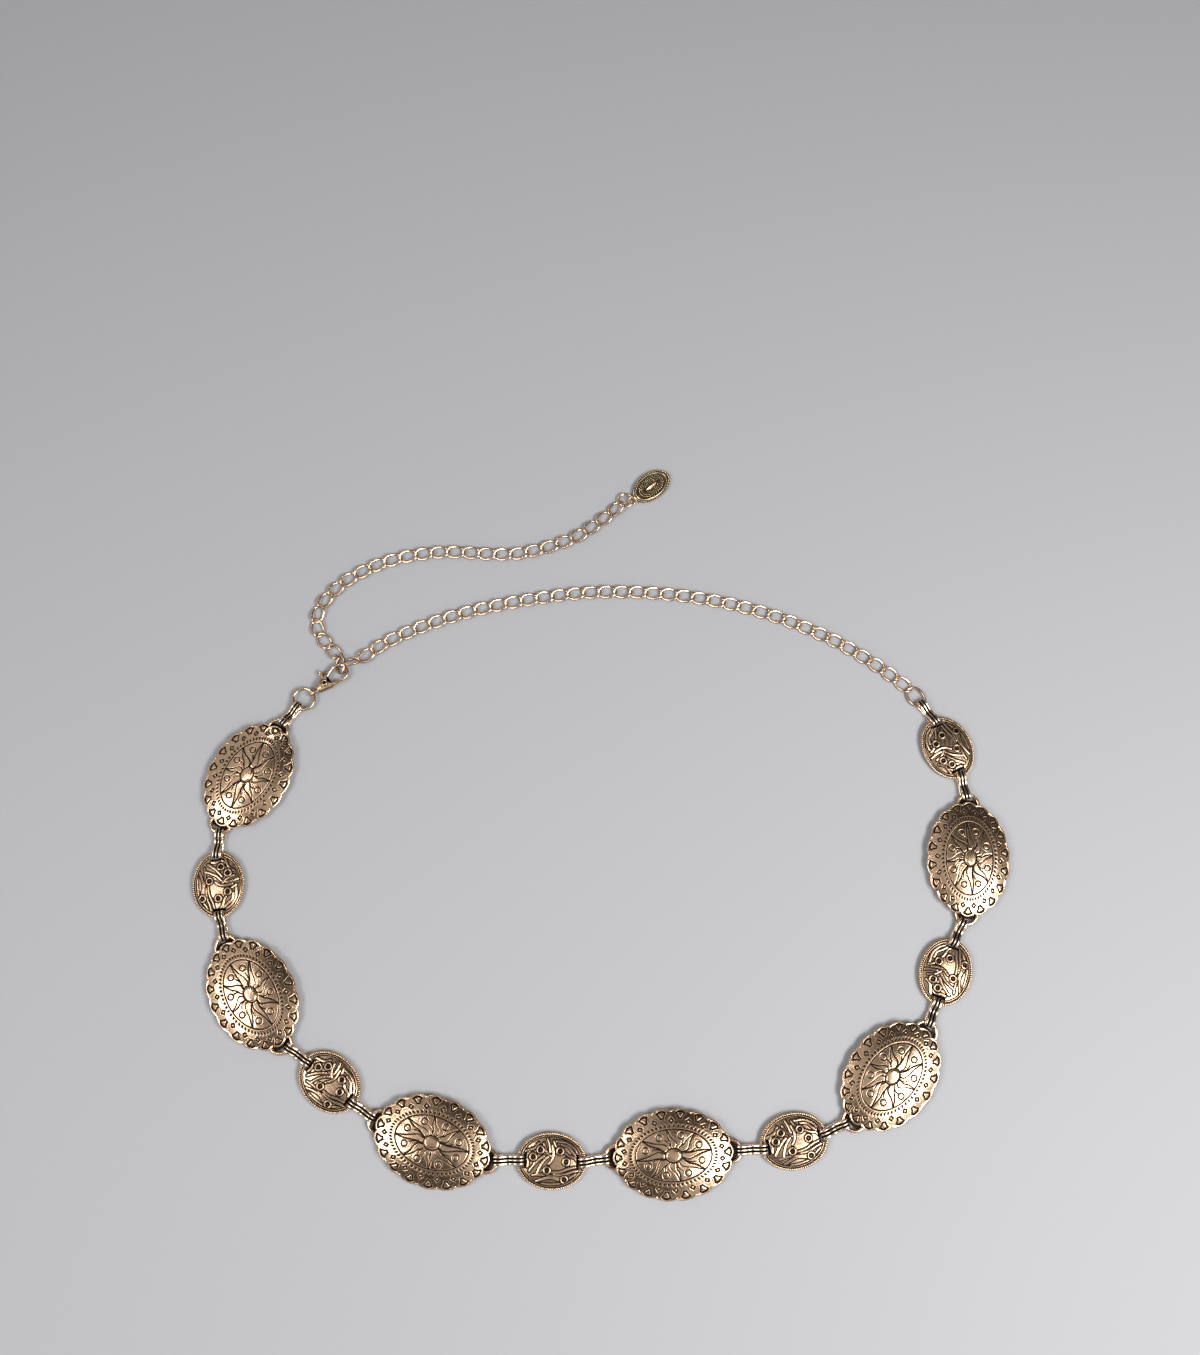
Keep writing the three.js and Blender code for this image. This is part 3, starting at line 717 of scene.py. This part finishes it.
def rim_relief(share, angle):
    """Dots, diamonds and fans between the sun and the scalloped rim."""
    step = 0.005
    slope = (design_width(share + step) - design_width(share - step)) / (2 * step)
    size = np.hypot(LARGE_LENGTH * np.cos(angle), slope * np.sin(angle))
    along_unit = np.hypot(LARGE_LENGTH * np.sin(angle), LARGE_WIDTH * np.cos(angle))
    dot_pitch = TURN / DOTS
    dot_off = (angle % dot_pitch - dot_pitch / 2) * along_unit * DOTS_SHARE
    dot = bell(np.hypot(dot_off * 1.15, (share - DOTS_SHARE) * size * 0.75), 0.48)
    pitch = TURN / SCALLOPS
    diamond_off = (angle % pitch - pitch / 2) * along_unit * DIAMOND_SHARE
    diamond_out = (share - DIAMOND_SHARE * 0.985) * size
    diamond_edge = (np.abs(diamond_off) / 0.95 + np.abs(diamond_out) / 0.95 - 1) * 0.67
    diamond = bell(diamond_edge, 0.27)
    fan_off = ((angle + pitch / 2) % pitch - pitch / 2) * along_unit * share
    fan_depth = (FAN_ARC_SHARE - FAN_POINT_SHARE) * size
    fan_out = (share - FAN_POINT_SHARE) / (FAN_ARC_SHARE - FAN_POINT_SHARE)
    fan_half = 0.5 + 1.85 * np.clip(fan_out, 0, 1.2) ** 1.35
    side_edge = (np.abs(fan_off) - fan_half) * 0.8
    arc_edge = (fan_out - 1 + 0.25 * (fan_off / 2.25) ** 2) * fan_depth
    fan_edge = np.maximum(np.maximum(side_edge, arc_edge), -fan_out * fan_depth)
    fan = np.maximum(bell(fan_edge, 0.28), bell(arc_edge + 0.2, 0.36) * ramp(-side_edge, -0.1, 0.3))
    lip = bell((share - 0.985) * size, 0.3)
    height = 0.15 * lip + 0.05 * ramp(-fan_edge, 0.2, 0.6) + 0.05 * ramp(-diamond_edge, 0.15, 0.4)
    height += 0.04 * (bell(fan_edge - 0.45, 0.2) + bell(diamond_edge - 0.45, 0.2))
    grooves = dot + diamond + fan
    return height - 0.15 * grooves, 2.1 * grooves


def large_row(share, angle):
    """A row of the dome's upper face: the sun within, the dots, diamonds and fans without."""
    draw = scallop(angle, share)
    x = LARGE_LENGTH * share * draw * np.cos(angle)
    y = design_width(share) * draw * np.sin(angle)
    sun_height, sun_recess = sun_relief(share, angle, x, y)
    rim_height, rim_recess = rim_relief(share, angle)
    rim_part = ramp(share, 0.655, 0.675)
    height = sun_height * (1 - rim_part) + rim_height * rim_part
    recess = sun_recess * (1 - rim_part) + rim_recess * rim_part
    points = np.column_stack([x, y, dome_height(x, y) + height])
    return points, np.clip(recess, 0, DEEPEST)


def add_loop(form, side):
    """The wire loop under one end of a large medallion, and the sheet painted black as painted shade
    that closes it.
    """
    bend = np.linspace(-TURN / 4, TURN / 4, 19)
    arc = oval(LOOP_RADIUS, LOOP_RADIUS, bend, LOOP_HEIGHT) + [LOOP_CENTRE, 0, 0]
    foot = np.array([LOOP_FOOT, 0, 0])
    line = np.vstack([arc[0] - foot, arc, arc[-1] - foot]) * [side, side, 1]
    add_wire(form, line, LOOP_WIRE, under=1.0)
    # painted shade: a fully black sheet where the inside of the loop falls in shade
    shade_sheet = rounded_corners(np.array(LOOP_SHADE_SHEET) * side, 0.4)
    add_plate(form, shade_sheet, SHADE_SHEET_BOTTOM, SHADE_SHEET_TOP, 0.1, recess=DEEPEST)


def large_medallion_mesh():
    """The cast dome with its engraved art, hollow beneath, on two wire loops."""
    form = Form()
    zones = [
        (90, np.linspace(0.01, 0.14, 11)),
        (180, np.linspace(0.149, 0.30, 21)),
        (360, np.linspace(0.308, 0.775, 58)),
        (720, np.linspace(0.783, 1.0, 29)),
    ]
    rows = add_top(form, zones, large_row)
    rim = form.points[-1]
    form.peak(rows[0], form.points[0][:, 2].max() + 0.01)
    row = rows[-1]
    for share, drop in ((0.997, 0.35), (0.992, 0.75), (0.985, 0.9)):
        row = form.grow(row, np.column_stack([rim[:, :2] * share, rim[:, 2] - drop]), 0.3)
    row = form.grow(row, rim[::2] * [0.93, 0.93, 0] + [0, 0, LARGE_UNDERSIDE], 0.5)
    angle = round_angles(180)
    row = form.grow(row, oval(LARGE_LENGTH * 0.84, LARGE_WIDTH * 0.84, angle, LARGE_UNDERSIDE), 0.6)
    for share in (0.8, 0.7, 0.55, 0.35, 0.15):
        points = oval(LARGE_LENGTH * share, LARGE_WIDTH * share, angle, 0.0)
        points[:, 2] = dome_height(points[:, 0], points[:, 1]) - LARGE_WALL
        row = form.grow(row, points, 0.6)
    form.peak(row, LARGE_CROWN - LARGE_WALL, 0.6, turned=True)
    for side in (1, -1):
        add_loop(form, side)
    return form.mesh("large_medallion_cast")


# The small medallion

def leaf_relief(x, y):
    """Branches and ring berries over the small medallion's field."""
    stretch = np.array([SMALL_LENGTH, SMALL_WIDTH]) / 100
    lines = [smooth_line(branch * stretch, 12) for branch in BRANCHES]
    from_branch = np.min([line_distance(x, y, line) for line in lines], axis=0)
    rings = [np.hypot(x - p, y - q) for p, q in BERRIES * stretch]
    from_berry = np.min(rings, axis=0)
    clear = ramp(from_berry, 1.7, 2.0)
    hatch = 0.5 + 0.5 * np.sin(3.2 * (x * 0.4 + y) + 0.8 * np.sin(0.9 * x))
    height = 0.19 * bell(from_branch, 0.34) * clear
    height += 0.22 * bell(from_berry - 1.35, 0.32)
    recess = 1.4 * bell(from_branch - 0.66, 0.3) + 0.25 * hatch ** 3 * ramp(from_branch, 0.8, 1.3)
    recess *= clear
    recess += 1.6 * bell(from_berry - 0.8, 0.32) + 0.85 * ramp(-from_berry, -0.9, -0.5)
    recess += 1.4 * bell(from_berry - 1.85, 0.27)
    return height, np.clip(recess, 0, DEEPEST)


def small_row(share, angle):
    """A row of the plate's upper face: the leafy field, a raised line and the fluted rim."""
    x = SMALL_LENGTH * share * np.cos(angle)
    y = SMALL_WIDTH * share * np.sin(angle)
    leaf, recess = leaf_relief(x, y)
    field = 1 - ramp(share, 0.82, 0.86)
    line = bell(share - 0.878, 0.018)
    groove = bell(share - 0.848, 0.018) + bell(share - 0.906, 0.014)
    rim = ramp(share, 0.91, 0.92)
    flute = (0.5 - 0.5 * np.cos(FLUTES * angle)) ** 2.2
    rounded = ((share - 0.952) / 0.05) ** 2
    height = SMALL_FIELD_TOP + SMALL_DOME * (1 - np.clip(share / 0.88, 0, 1) ** 2.5)
    height += leaf * field + 0.4 * line + rim * (SMALL_RIM_TOP - SMALL_FIELD_TOP)
    height -= rim * (0.2 * flute + 0.18 * rounded)
    recess = np.clip(recess * field + 1.6 * groove + rim * 1.2 * flute, 0, 1.5)
    return np.column_stack([x, y, height]), recess


def small_medallion_mesh():
    """The oval plate with a milled rim, a leafy field and a slot at each end."""
    form = Form()
    zones = [
        (96, np.linspace(0.02, 0.17, 10)),
        (192, np.linspace(0.185, 0.40, 16)),
        (384, np.linspace(0.415, 0.985, 41)),
    ]
    rows = add_top(form, zones, small_row)
    form.peak(rows[0], form.points[0][:, 2].mean())
    row = rows[-1]
    angle = round_angles(len(row))
    flute = 0.5 - 0.5 * np.cos(FLUTES * angle)
    edge = [(1.0, SMALL_RIM_TOP - 0.25), (1.0, SMALL_UNDERSIDE + 0.2), (0.985, SMALL_UNDERSIDE)]
    for share, z in edge:
        reach = share - 0.01 * flute
        row = form.grow(row, oval(SMALL_LENGTH * reach, SMALL_WIDTH * reach, angle, z), flute * 0.7)
    form.cap(row[::-1])
    return with_slot_walls(slotted(form.mesh("small_medallion_plate")))


def with_slot_walls(mesh):
    """Joins the wall that leans from the plate's underside into each slot, painted black as painted
    shade.
    """
    form = Form()
    for side in (1, -1):
        ends = []
        for y in (-SLOT_WALL_REACH, SLOT_WALL_REACH):
            points = [(side * (SLOT_INNER + into), y, z) for into, z in SLOT_WALL]
            # painted shade: the leaning wall is made fully black
            ends.append(form.ring(points, 1.0))
        form.hull(ends)
    walls = form.mesh("slot_walls")
    whole = bmesh.new()
    whole.from_mesh(mesh)
    whole.from_mesh(walls)
    whole.to_mesh(mesh)
    whole.free()
    mesh.shade_smooth()
    for face in mesh.polygons:
        face.use_smooth = face.normal.z > FLAT_BELOW
    return mesh


def slotted(mesh):
    """Cuts the slot at each end with a boolean and keeps the recess values."""
    plate = put_in_scene("plate_to_cut", mesh)
    form = Form()
    for side in (1, -1):
        left, right = sorted((side * SLOT_INNER, side * SLOT_OUTER))
        low, high = -SLOT_HALF_WIDTH, SLOT_HALF_WIDTH
        outline = rounded_corners([(left, low), (right, low), (right, high), (left, high)], 0.5)
        # painted shade: the cutter's recess of 1.0 blackens the slot's cut sides
        form.hull([form.ring(at_height(outline, height), 1.0) for height in (0.0, 5.0)])
    cutter = put_in_scene("slot_cutter", form.mesh("slot_cutter"))
    cut = plate.modifiers.new("slots", "BOOLEAN")
    cut.object = cutter
    cut.operation = "DIFFERENCE"
    cut.solver = "EXACT"
    bpy.context.view_layer.update()
    graph = bpy.context.evaluated_depsgraph_get()
    made = bpy.data.meshes.new_from_object(plate.evaluated_get(graph))
    bpy.data.objects.remove(cutter)
    bpy.data.objects.remove(plate)
    return made


# The strap link

def strap_mesh():
    """Three reeds side by side, folded round the loop at one end and the rim bar at the other."""
    half = REED_HALF_THICKNESS
    low = half + 0.1
    left = STRAP_LOOP_END + half
    right = STRAP_BAR_END - half
    loop_top = STRAP_LOOP_TOP - half
    bar_top = STRAP_BAR_TOP - half
    path = [
        (4.4, 0.5 + half), (2.4, low + 0.12), (0.9, low), (-0.7, low), (left + 0.25, 0.85),
        (left, 1.75), (left + 0.25, 2.75), (-0.7, loop_top), (0.9, loop_top), (2.3, 2.65),
        (3.4, 2.2), (4.4, 2.4 - half), (5.4, 2.2), (6.4, 2.65), (7.7, bar_top), (9.6, bar_top),
        (right - 0.2, 2.85), (right, 1.8), (right - 0.2, 0.8), (9.8, low), (7.6, low),
        (6.0, low + 0.12),
    ]
    across = np.array([0.0, 1.0, 0.0])
    form = Form()
    for step, thick in ((-1, half * 0.97), (0, half), (1, half * 0.97)):
        line = smooth_line([(u, step * REED_SPACING, z) for u, z in path], 48, closed=True)
        add_wire(form, line, thick, REED_HALF_WIDTH, up=across, closed=True, sides=10)
    mesh = form.mesh("strap_reeds")
    shade_strap(mesh)
    return mesh


def shade_strap(mesh):
    """Blackens the grooves between the reeds and down the reeds' sides: painted shade."""
    across = np.array([vertex.co.y for vertex in mesh.vertices]) / MM
    from_groove = np.abs(np.abs(across) - REED_SPACING / 2)
    # painted shade: black between the reeds, fading up each reed's sides
    recess = 1.5 * (1 - ramp(from_groove, 0.18, 0.52))
    mesh.attributes["recess"].data.foreach_set("value", recess.astype(np.float32))


# Chains

def add_link(form, start, end, roll=0.0, twist=LINK_TWIST, half_width=LINK_HALF_WIDTH):
    """One curb link between the two points where it meets its neighbours."""
    along = end - start
    half_length = np.linalg.norm(along) / 2 + LINK_OVERLAP
    along = unit(along)
    middle = (start + end) / 2
    flat_across = unit(np.cross(UP, along))
    rolled = math.radians(roll)
    across = flat_across * math.cos(rolled) + np.cross(along, flat_across) * math.sin(rolled)
    normal = np.cross(along, across)
    angle = round_angles(40)[:, None]
    line = middle + along * half_length * np.cos(angle) + across * half_width * np.sin(angle)
    line = line - normal * twist * np.sin(2 * angle)
    add_wire(form, line, LINK_WIRE, up=normal, closed=True, sides=10, under=0.8)


def add_links(form, contacts):
    """A link between each contact point and the next."""
    for start, end in zip(contacts[:-1], contacts[1:]):
        add_link(form, start, end)


def contact_points(route, end):
    """Where the links meet: as many even steps along the route as fit the pitch."""
    points = [np.array([x, y, CHAIN_HEIGHT]) for x, y in route] + [end]
    length = np.linalg.norm(np.diff(smooth_line(points, 400), axis=0), axis=1).sum()
    return smooth_line(points, round(length / PITCH) + 1)


def chain_meshes(offset, neck, chain_hold):
    """Both chains, from the same points as the part's."""
    held_middle = neck + heading(CLASP_TURN) * HELD_ALONG
    held_middle += heading(CLASP_TURN + TURN / 4) * HELD_ACROSS
    held_middle[2] = HOOK_HEIGHT
    held_reach = heading(HELD_TURN) * PITCH / 2
    last_turn = heading(LAST_TURN)
    last_hold = chain_hold - last_turn * 0.2
    last_hold[2] = LOOP_HEIGHT
    last_free = last_hold + last_turn * LAST_LENGTH
    last_free[2] = CHAIN_HEIGHT
    main = contact_points(MAIN_ROUTE, last_free - offset) + offset
    main[0][2] = 1.9
    standing_start = held_middle + heading(math.radians(8)) * 2.2
    standing_start[2] = 3.6
    main_form = Form()
    add_link(main_form, held_middle - held_reach, held_middle + held_reach, -40, 0)
    add_link(main_form, standing_start, main[0], -48, 0)
    add_links(main_form, main)
    add_link(main_form, last_free, last_hold, 0, 0.25, 3.45)

    tail_first = held_middle + held_reach + np.array([-0.1, -0.45, -0.35])
    tail_turn = heading(TAIL_TURN)
    ring_edge = TAG_RING_PLACE + offset + tail_turn * (1.05 - TAG_RING_RADIUS)
    tail_end = ring_edge - tail_turn * PITCH
    tail_end[2] = CHAIN_HEIGHT
    tail = contact_points(TAIL_ROUTE, tail_end - offset) + offset
    tail_form = Form()
    add_link(tail_form, tail_first, tail[0], 15)
    add_links(tail_form, tail)
    add_link(tail_form, tail_end, ring_edge, -10)
    return main_form.mesh("main_chain_links"), tail_form.mesh("tail_chain_links")


# Rings and tag

def ring_mesh(name, centre, radius, wire, columns):
    """A round wire ring lying flat."""
    line = oval(radius, radius, round_angles(columns), 0.0) + centre
    form = Form()
    add_wire(form, line, wire, closed=True, sides=14, under=0.9)
    return form.mesh(name)


def tag_row(share, angle):
    """A row of the tag's face: beaded rim, oval line, spindle ridge and radiating strokes."""
    x = TAG_LENGTH * share * np.cos(angle)
    y = TAG_WIDTH * share * np.sin(angle)
    bead_angle = TURN / BEADS
    along_unit = np.hypot(TAG_LENGTH * np.sin(angle), TAG_WIDTH * np.cos(angle))
    bead_off = (angle % bead_angle - bead_angle / 2) * along_unit
    size = np.hypot(TAG_LENGTH * np.cos(angle), TAG_WIDTH * np.sin(angle))
    from_bead = np.hypot(bead_off, (share - 0.94) * size)
    bead = np.sqrt(np.clip(1 - (from_bead / 0.44) ** 2, 0, 1)) * 0.42
    line = bell((share - 0.82) * size, 0.24)
    spindle = np.clip(1 - np.abs(x / 3.9), 0, 1) ** 0.4
    ridge = 0.7 * spindle * bell(y, 0.15 + 0.42 * spindle)
    spokes = 0.5 + 0.5 * np.sin(34 * angle + 6 * np.sin(share * 22))
    pebbles = spokes * (0.5 + 0.5 * np.sin(share * 62))
    around_spindle = np.hypot(x / 4.1, y)
    field = ramp(around_spindle, 0.9, 1.3) * (1 - ramp(share, 0.73, 0.78))
    height = bead + 0.3 * line + ridge + 0.3 * pebbles * field
    recess = ramp(from_bead, 0.2, 0.42) * ramp(share, 0.85, 0.88)
    recess += field * (1 - ramp(pebbles, 0.2, 0.6)) + bell((share - 0.765) * size, 0.26)
    recess += bell((around_spindle - 0.92) * 1.6, 0.28)
    return np.column_stack([x, y, TAG_FIELD + height]), DEEPEST * np.clip(recess, 0, 1)


def tag_mesh():
    """The oval end tag with its leaning loop."""
    form = Form()
    zones = [(116, np.linspace(0.02, 0.3, 12)), (232, np.linspace(0.32, 0.985, 38))]
    rows = add_top(form, zones, tag_row)
    form.peak(rows[0], form.points[0][:, 2].mean())
    row = rows[-1]
    angle = round_angles(len(row))
    for share, z in ((1.0, TAG_TOP - 0.6), (1.0, TAG_UNDERSIDE + 0.2), (0.97, TAG_UNDERSIDE)):
        row = form.grow(row, oval(TAG_LENGTH * share, TAG_WIDTH * share, angle, z), 0.3)
    form.cap(row[::-1])
    flat = oval(TAG_LOOP_RADIUS, TAG_LOOP_RADIUS, round_angles(36), 0.0)
    lean = np.array(Matrix.Rotation(math.radians(45), 3, Vector(heading(math.radians(-45)))))
    centre = np.array([TAG_LOOP_WIRE - TAG_LENGTH - TAG_LOOP_RADIUS, 0, TAG_RING_PLACE[2]])
    add_wire(form, flat @ lean.T + centre, TAG_LOOP_WIRE, up=lean @ UP, closed=True)
    return form.mesh("tag_cast")


# The clasp, in its own frame: +X along it from the neck, then laid on the table

def eye_mesh():
    """The swivel's loop, two collar bands and stem."""
    form = Form()
    flat = oval(1.6, 1.45, round_angles(32), 0.0)
    line = flat[:, [0, 2, 1]] + [-EYE_BACK, 0, EYE_HEIGHT]
    add_wire(form, line, 0.45, up=np.array([0.0, -1.0, 0.0]), closed=True)
    profile = [
        (-0.84, 0.5), (-0.8, 1.3), (-0.7, 1.52), (-0.56, 1.54), (-0.46, 1.36), (-0.41, 1.2),
        (-0.36, 1.36), (-0.25, 1.6), (-0.1, 1.62), (0.02, 1.4), (0.04, 0.55), (1.5, 0.55), (1.52, 0.3),
    ]
    rows = []
    for u, radius in profile:
        section = oval(radius, radius, round_angles(24), u)
        recess = bell(u + 0.4, 0.1)
        rows.append(form.ring(section[:, [2, 0, 1]] + [0, 0, EYE_HEIGHT], recess))
    form.hull(rows)
    return form.mesh("swivel_parts")


def add_rivet(form):
    """The rivet's two heads, each with a dimple painted black as a hole's painted shade, its shaft and
    a fine ring at its foot.
    """
    profile = [
        (0.66, 3.84), (0.74, 3.88), (0.9, 4.02), (1.14, 4.02), (1.34, 3.9), (1.42, 3.66), (0.9, 3.6),
    ]
    mirrored = [(radius, 4.4 - z) for radius, z in profile[::-1]]
    place_at = [RIVET_U, RIVET_V, 0]
    angle = round_angles(28)
    rows = []
    for radius, z in profile + mirrored:
        # painted shade: the dimple's floor is made fully black, like a deep hole
        dark = DEEPEST if radius < 0.8 else 0.0
        rows.append(form.ring(oval(radius, radius, angle, z) + place_at, dark))
    form.skin(rows)
    form.cap(rows[0])
    form.cap(rows[-1][::-1])
    foot = oval(1.56, 1.56, angle, 3.72) + place_at
    add_wire(form, foot, 0.16, 0.1, closed=True, sides=8, recess=0.9)


def body_mesh():
    """Two cheeks joined at the neck, the rivet and the hook's arm."""
    cheeks = [
        (0.25, -1.45), (3.6, -2.35), (6.3, -3.1), (7.6, -3.3), (7.0, -1.6), (6.45, -0.6), (6.4, 0.6),
        (7.1, 1.75), (8.2, 2.5), (8.0, 3.35), (6.2, 2.95), (0.25, 1.45),
    ]
    form = Form()
    outline = rounded_corners(cheeks, 0.7)
    add_plate(form, outline, 0.6, 1.4, 0.25, flank_shade=0.6)
    add_plate(form, outline, 3.0, 3.65, 0.5, 0.12, flank_shade=1.2)
    neck = rounded_corners([(0.28, -1.1), (2.3, -1.5), (2.3, 1.5), (0.28, 1.1)], 0.3)
    add_plate(form, neck, 0.7, 3.7, 0.3, flank_shade=1.0)
    shoulder = rounded_corners([(6.9, 1.8), (8.1, 2.3), (7.9, 3.2), (6.8, 2.9)], 0.3)
    add_plate(form, shoulder, 1.2, 3.2, 0.2)
    add_rivet(form)
    arm = [
        (6.9, 2.35), (8.2, 2.8), (9.4, 3.2), (12.2, 3.75), (14.4, 3.35), (15.9, 1.8),
        (16.3, 0), (15.8, -1.9), (14.4, -3.3), (12.9, -3.72),
    ]
    line = smooth_line([(u, v, HOOK_HEIGHT) for u, v in arm], 44)
    reach = np.linspace(0, 1, len(line))
    across = 0.65 + 0.35 * (1 - ramp(reach, 0.0, 0.3)) - 0.1 * ramp(reach, 0.85, 1.0)
    deep = 0.95 - 0.12 * ramp(reach, 0.8, 1.0)
    add_wire(form, line, across, deep, sides=14, under=0.8)
    return form.mesh("clasp_cheeks_and_hook")


def lever_mesh():
    """The thumb tab and the gate, one lever on the rivet."""
    outline = [
        (3.0, 0.2), (3.7, -1.4), (5.5, -1.85), (8.4, -3.25), (11.8, -4.25), (11.95, -3.1),
        (8.6, -1.95), (6.45, -0.4), (6.15, 1.4), (6.35, 3.3), (7.0, 3.95), (7.2, 5.3),
        (6.5, 6.15), (5.5, 6.15), (4.9, 5.3), (4.2, 2.1),
    ]
    form = Form()
    add_plate(form, rounded_corners(outline, 0.5), 1.7, 2.7, 0.28, flank_shade=0.7)
    for u, v in np.linspace((8.604, -3.16), (11.324, -3.96), 5):
        bump = [(u, v, z) for z in (2.0, 2.4, 2.75)]
        add_wire(form, bump, 0.34, up=heading(math.radians(-20)), sides=10)
    tab = [(5.2, 5.2, 2.5), (5.6, 5.75, 2.6), (6.3, 5.8, 2.6), (6.75, 5.3, 2.5)]
    add_wire(form, smooth_line(tab, 10), 0.3, 0.5, sides=10)
    return form.mesh("lever_tab_and_gate")


# Making the belt

def dress_medallions(brass):
    """The twelve castings, each turned along the belt."""
    middles = [middle_of(name) for name in BELT_ORDER]
    large = large_medallion_mesh()
    small = small_medallion_mesh()
    for k, name in enumerate(BELT_ORDER):
        before = middles[max(k - 1, 0)]
        after = middles[min(k + 1, len(middles) - 1)]
        lay = place(*lie_of(name, after - before))
        casting = large if name.startswith("large") else small
        dress(f"{name}_cast", casting, brass, name, matrix=lay)


def dress_strap_links(brass):
    """The strap links, each with its bar end at a small medallion; returns the last one's loop."""
    strap = strap_mesh()
    strap_middle = (STRAP_LOOP_END + STRAP_BAR_END) / 2
    small_names = BELT_ORDER[1::2]
    bar_sides = ["jump_ring"] + [name for name in small_names for side in range(2)]
    for k, bar_side in enumerate(bar_sides):
        name = f"strap_link_{k}"
        middle, axis = lie_of(name, middle_of(bar_side) - middle_of(name))
        origin = middle - axis * strap_middle
        dress(f"{name}_reeds", strap, brass, name, matrix=place(origin, axis))
    return origin


def dress_clasp(plate):
    """The jump ring and the clasp; returns the place of the clasp's neck."""
    ring = ring_mesh("jump_ring_wire", middle_of("jump_ring"), RING_RADIUS, RING_WIRE, 72)
    dress("jump_ring_wire", ring, plate, "jump_ring")
    rivet = np.array(frame["joints"][0]["pos_m"]) / MM
    along = heading(CLASP_TURN)
    neck = rivet - along * RIVET_U - np.cross(UP, along) * RIVET_V
    neck[2] = 0.0
    lay = place(neck, along)
    dress("swivel_eye_and_collar", eye_mesh(), plate, "swivel_eye", matrix=lay)
    dress("clasp_cheeks_and_hook", body_mesh(), plate, "clasp_body", matrix=lay)
    dress("clasp_lever_and_gate", lever_mesh(), plate, "clasp_lever", "lever", lay)
    return neck


def make_belt():
    groups = (patina_and_shade_group(), scratch_group(), grain_group())
    metals = [metal(name, *look, groups) for name, look in METALS.items()]
    antique, lightened_strap_brass, light, rose, dark = metals
    dress_medallions(antique)
    chain_hold = dress_strap_links(lightened_strap_brass)
    neck = dress_clasp(light)
    offset = middle_of("tag_ring") - TAG_RING_PLACE
    main_links, tail_links = chain_meshes(offset, neck, chain_hold)
    dress("main_chain_links", main_links, rose, "main_chain")
    dress("tail_chain_links", tail_links, rose, "tail_chain")
    ring = ring_mesh("tag_ring_wire", middle_of("tag_ring"), TAG_RING_RADIUS, TAG_RING_WIRE, 48)
    dress("tag_ring_wire", ring, rose, "tag_ring")
    lay = place(TAG_PLACE + offset * [1, 1, 0], heading(TAG_TURN))
    dress("tag_cast", tag_mesh(), dark, "tag", matrix=lay)


# Table, lights and camera

# The room's dark sides: bearing, angle from upright, and the cosines where they begin and are full
DARK_SIDES = [(45, 39, 0.73, 0.91), (247, 38, 0.87, 0.96)]
# The belt's middle and the table's half size, in metres
MIDDLE_Y = -0.05
TABLE_REACH = 3.0


def make_table():
    """A plain matt table top."""
    material = bpy.data.materials.new("Pale table")
    material.use_nodes = True
    shader = material.node_tree.nodes["Principled BSDF"]
    fill(shader, {"Base Color": (0.445, 0.446, 0.462), "Roughness": 0.7})
    mesh = bpy.data.meshes.new("table")
    corners = np.array([(-1, -1, 0), (1, -1, 0), (1, 1, 0), (-1, 1, 0)]) * TABLE_REACH
    mesh.from_pydata(corners.tolist(), [], [(0, 1, 2, 3)])
    mesh.materials.append(material)
    put_in_scene("table", mesh)


def soft_light(name, spot, aim, width, height, power):
    """A rectangular lamp in metres and watts, turned to a point."""
    light = bpy.data.lights.new(name, "AREA")
    light.shape = "RECTANGLE"
    light.size = width
    light.size_y = height
    light.energy = power
    lamp = put_in_scene(name, light)
    lamp.location = spot
    lamp.rotation_euler = (Vector(aim) - lamp.location).to_track_quat("-Z", "Y").to_euler()


def heading_up(bearing, from_upright):
    """A unit vector by compass bearing and angle from upright, in degrees."""
    lean = math.radians(from_upright)
    return heading(math.radians(bearing)) * math.sin(lean) + UP * math.cos(lean)


def around(bearing, from_upright, distance):
    """A point round the belt by compass bearing and angle from upright, in degrees and metres."""
    return heading_up(bearing, from_upright) * distance + [0, MIDDLE_Y, 0]


def make_studio():
    """A dim room with a dark corner at the far right and a dark place at the front left."""
    world = bpy.data.worlds.new("studio")
    world.use_nodes = True
    tree = world.node_tree
    direction = node(tree, "ShaderNodeTexCoord", {}).outputs["Generated"]
    colour = (0.39, 0.39, 0.395)
    for bearing, from_upright, edge, core in DARK_SIDES:
        sockets = {0: direction, 1: heading_up(bearing, from_upright)}
        near = node(tree, "ShaderNodeVectorMath", sockets, operation="DOT_PRODUCT")
        sockets = {"Value": near.outputs["Value"], "From Min": edge, "From Max": core}
        fall = node(tree, "ShaderNodeMapRange", sockets, interpolation_type="SMOOTHSTEP")
        colour = mix_colour(tree, fall.outputs["Result"], colour, (0.02, 0.02, 0.02))
    fill(tree.nodes["Background"], {"Color": colour})
    bpy.context.scene.world = world


def make_light():
    """The room, two softboxes and a low strip at the front, and three small lamps for glints."""
    make_studio()
    soft_light("right_front_softbox", (0.57, -0.35, 0.82), (0.1, MIDDLE_Y, 0), 0.58, 0.34, 9.6)
    soft_light("left_front_softbox", (-0.64, -0.27, 0.82), (0, MIDDLE_Y, 0), 0.43, 0.34, 3.6)
    soft_light("low_front_strip", around(-92, 62, 1.1), (0, 0.05, 0), 0.9, 0.12, 0.5)
    for bearing, from_upright in ((165, 24), (110, 40), (-8, 22)):
        spot = around(bearing, from_upright, 1.0)
        soft_light(f"glint_lamp_{bearing}", spot, (0, 0, 0), 0.07, 0.07, 0.3)
    bpy.context.scene.view_settings.view_transform = "Standard"


def make_camera():
    """The photo's view, from almost straight above."""
    data = bpy.data.cameras.new("photo_view")
    data.lens = 32
    camera = put_in_scene("photo_view", data)
    camera.location = (-0.0008, -0.0685, 0.5331)
    camera.rotation_euler = (math.radians(13.6), 0, 0)
    bpy.context.scene.camera = camera


make_camera()
make_table()
make_light()
make_belt()
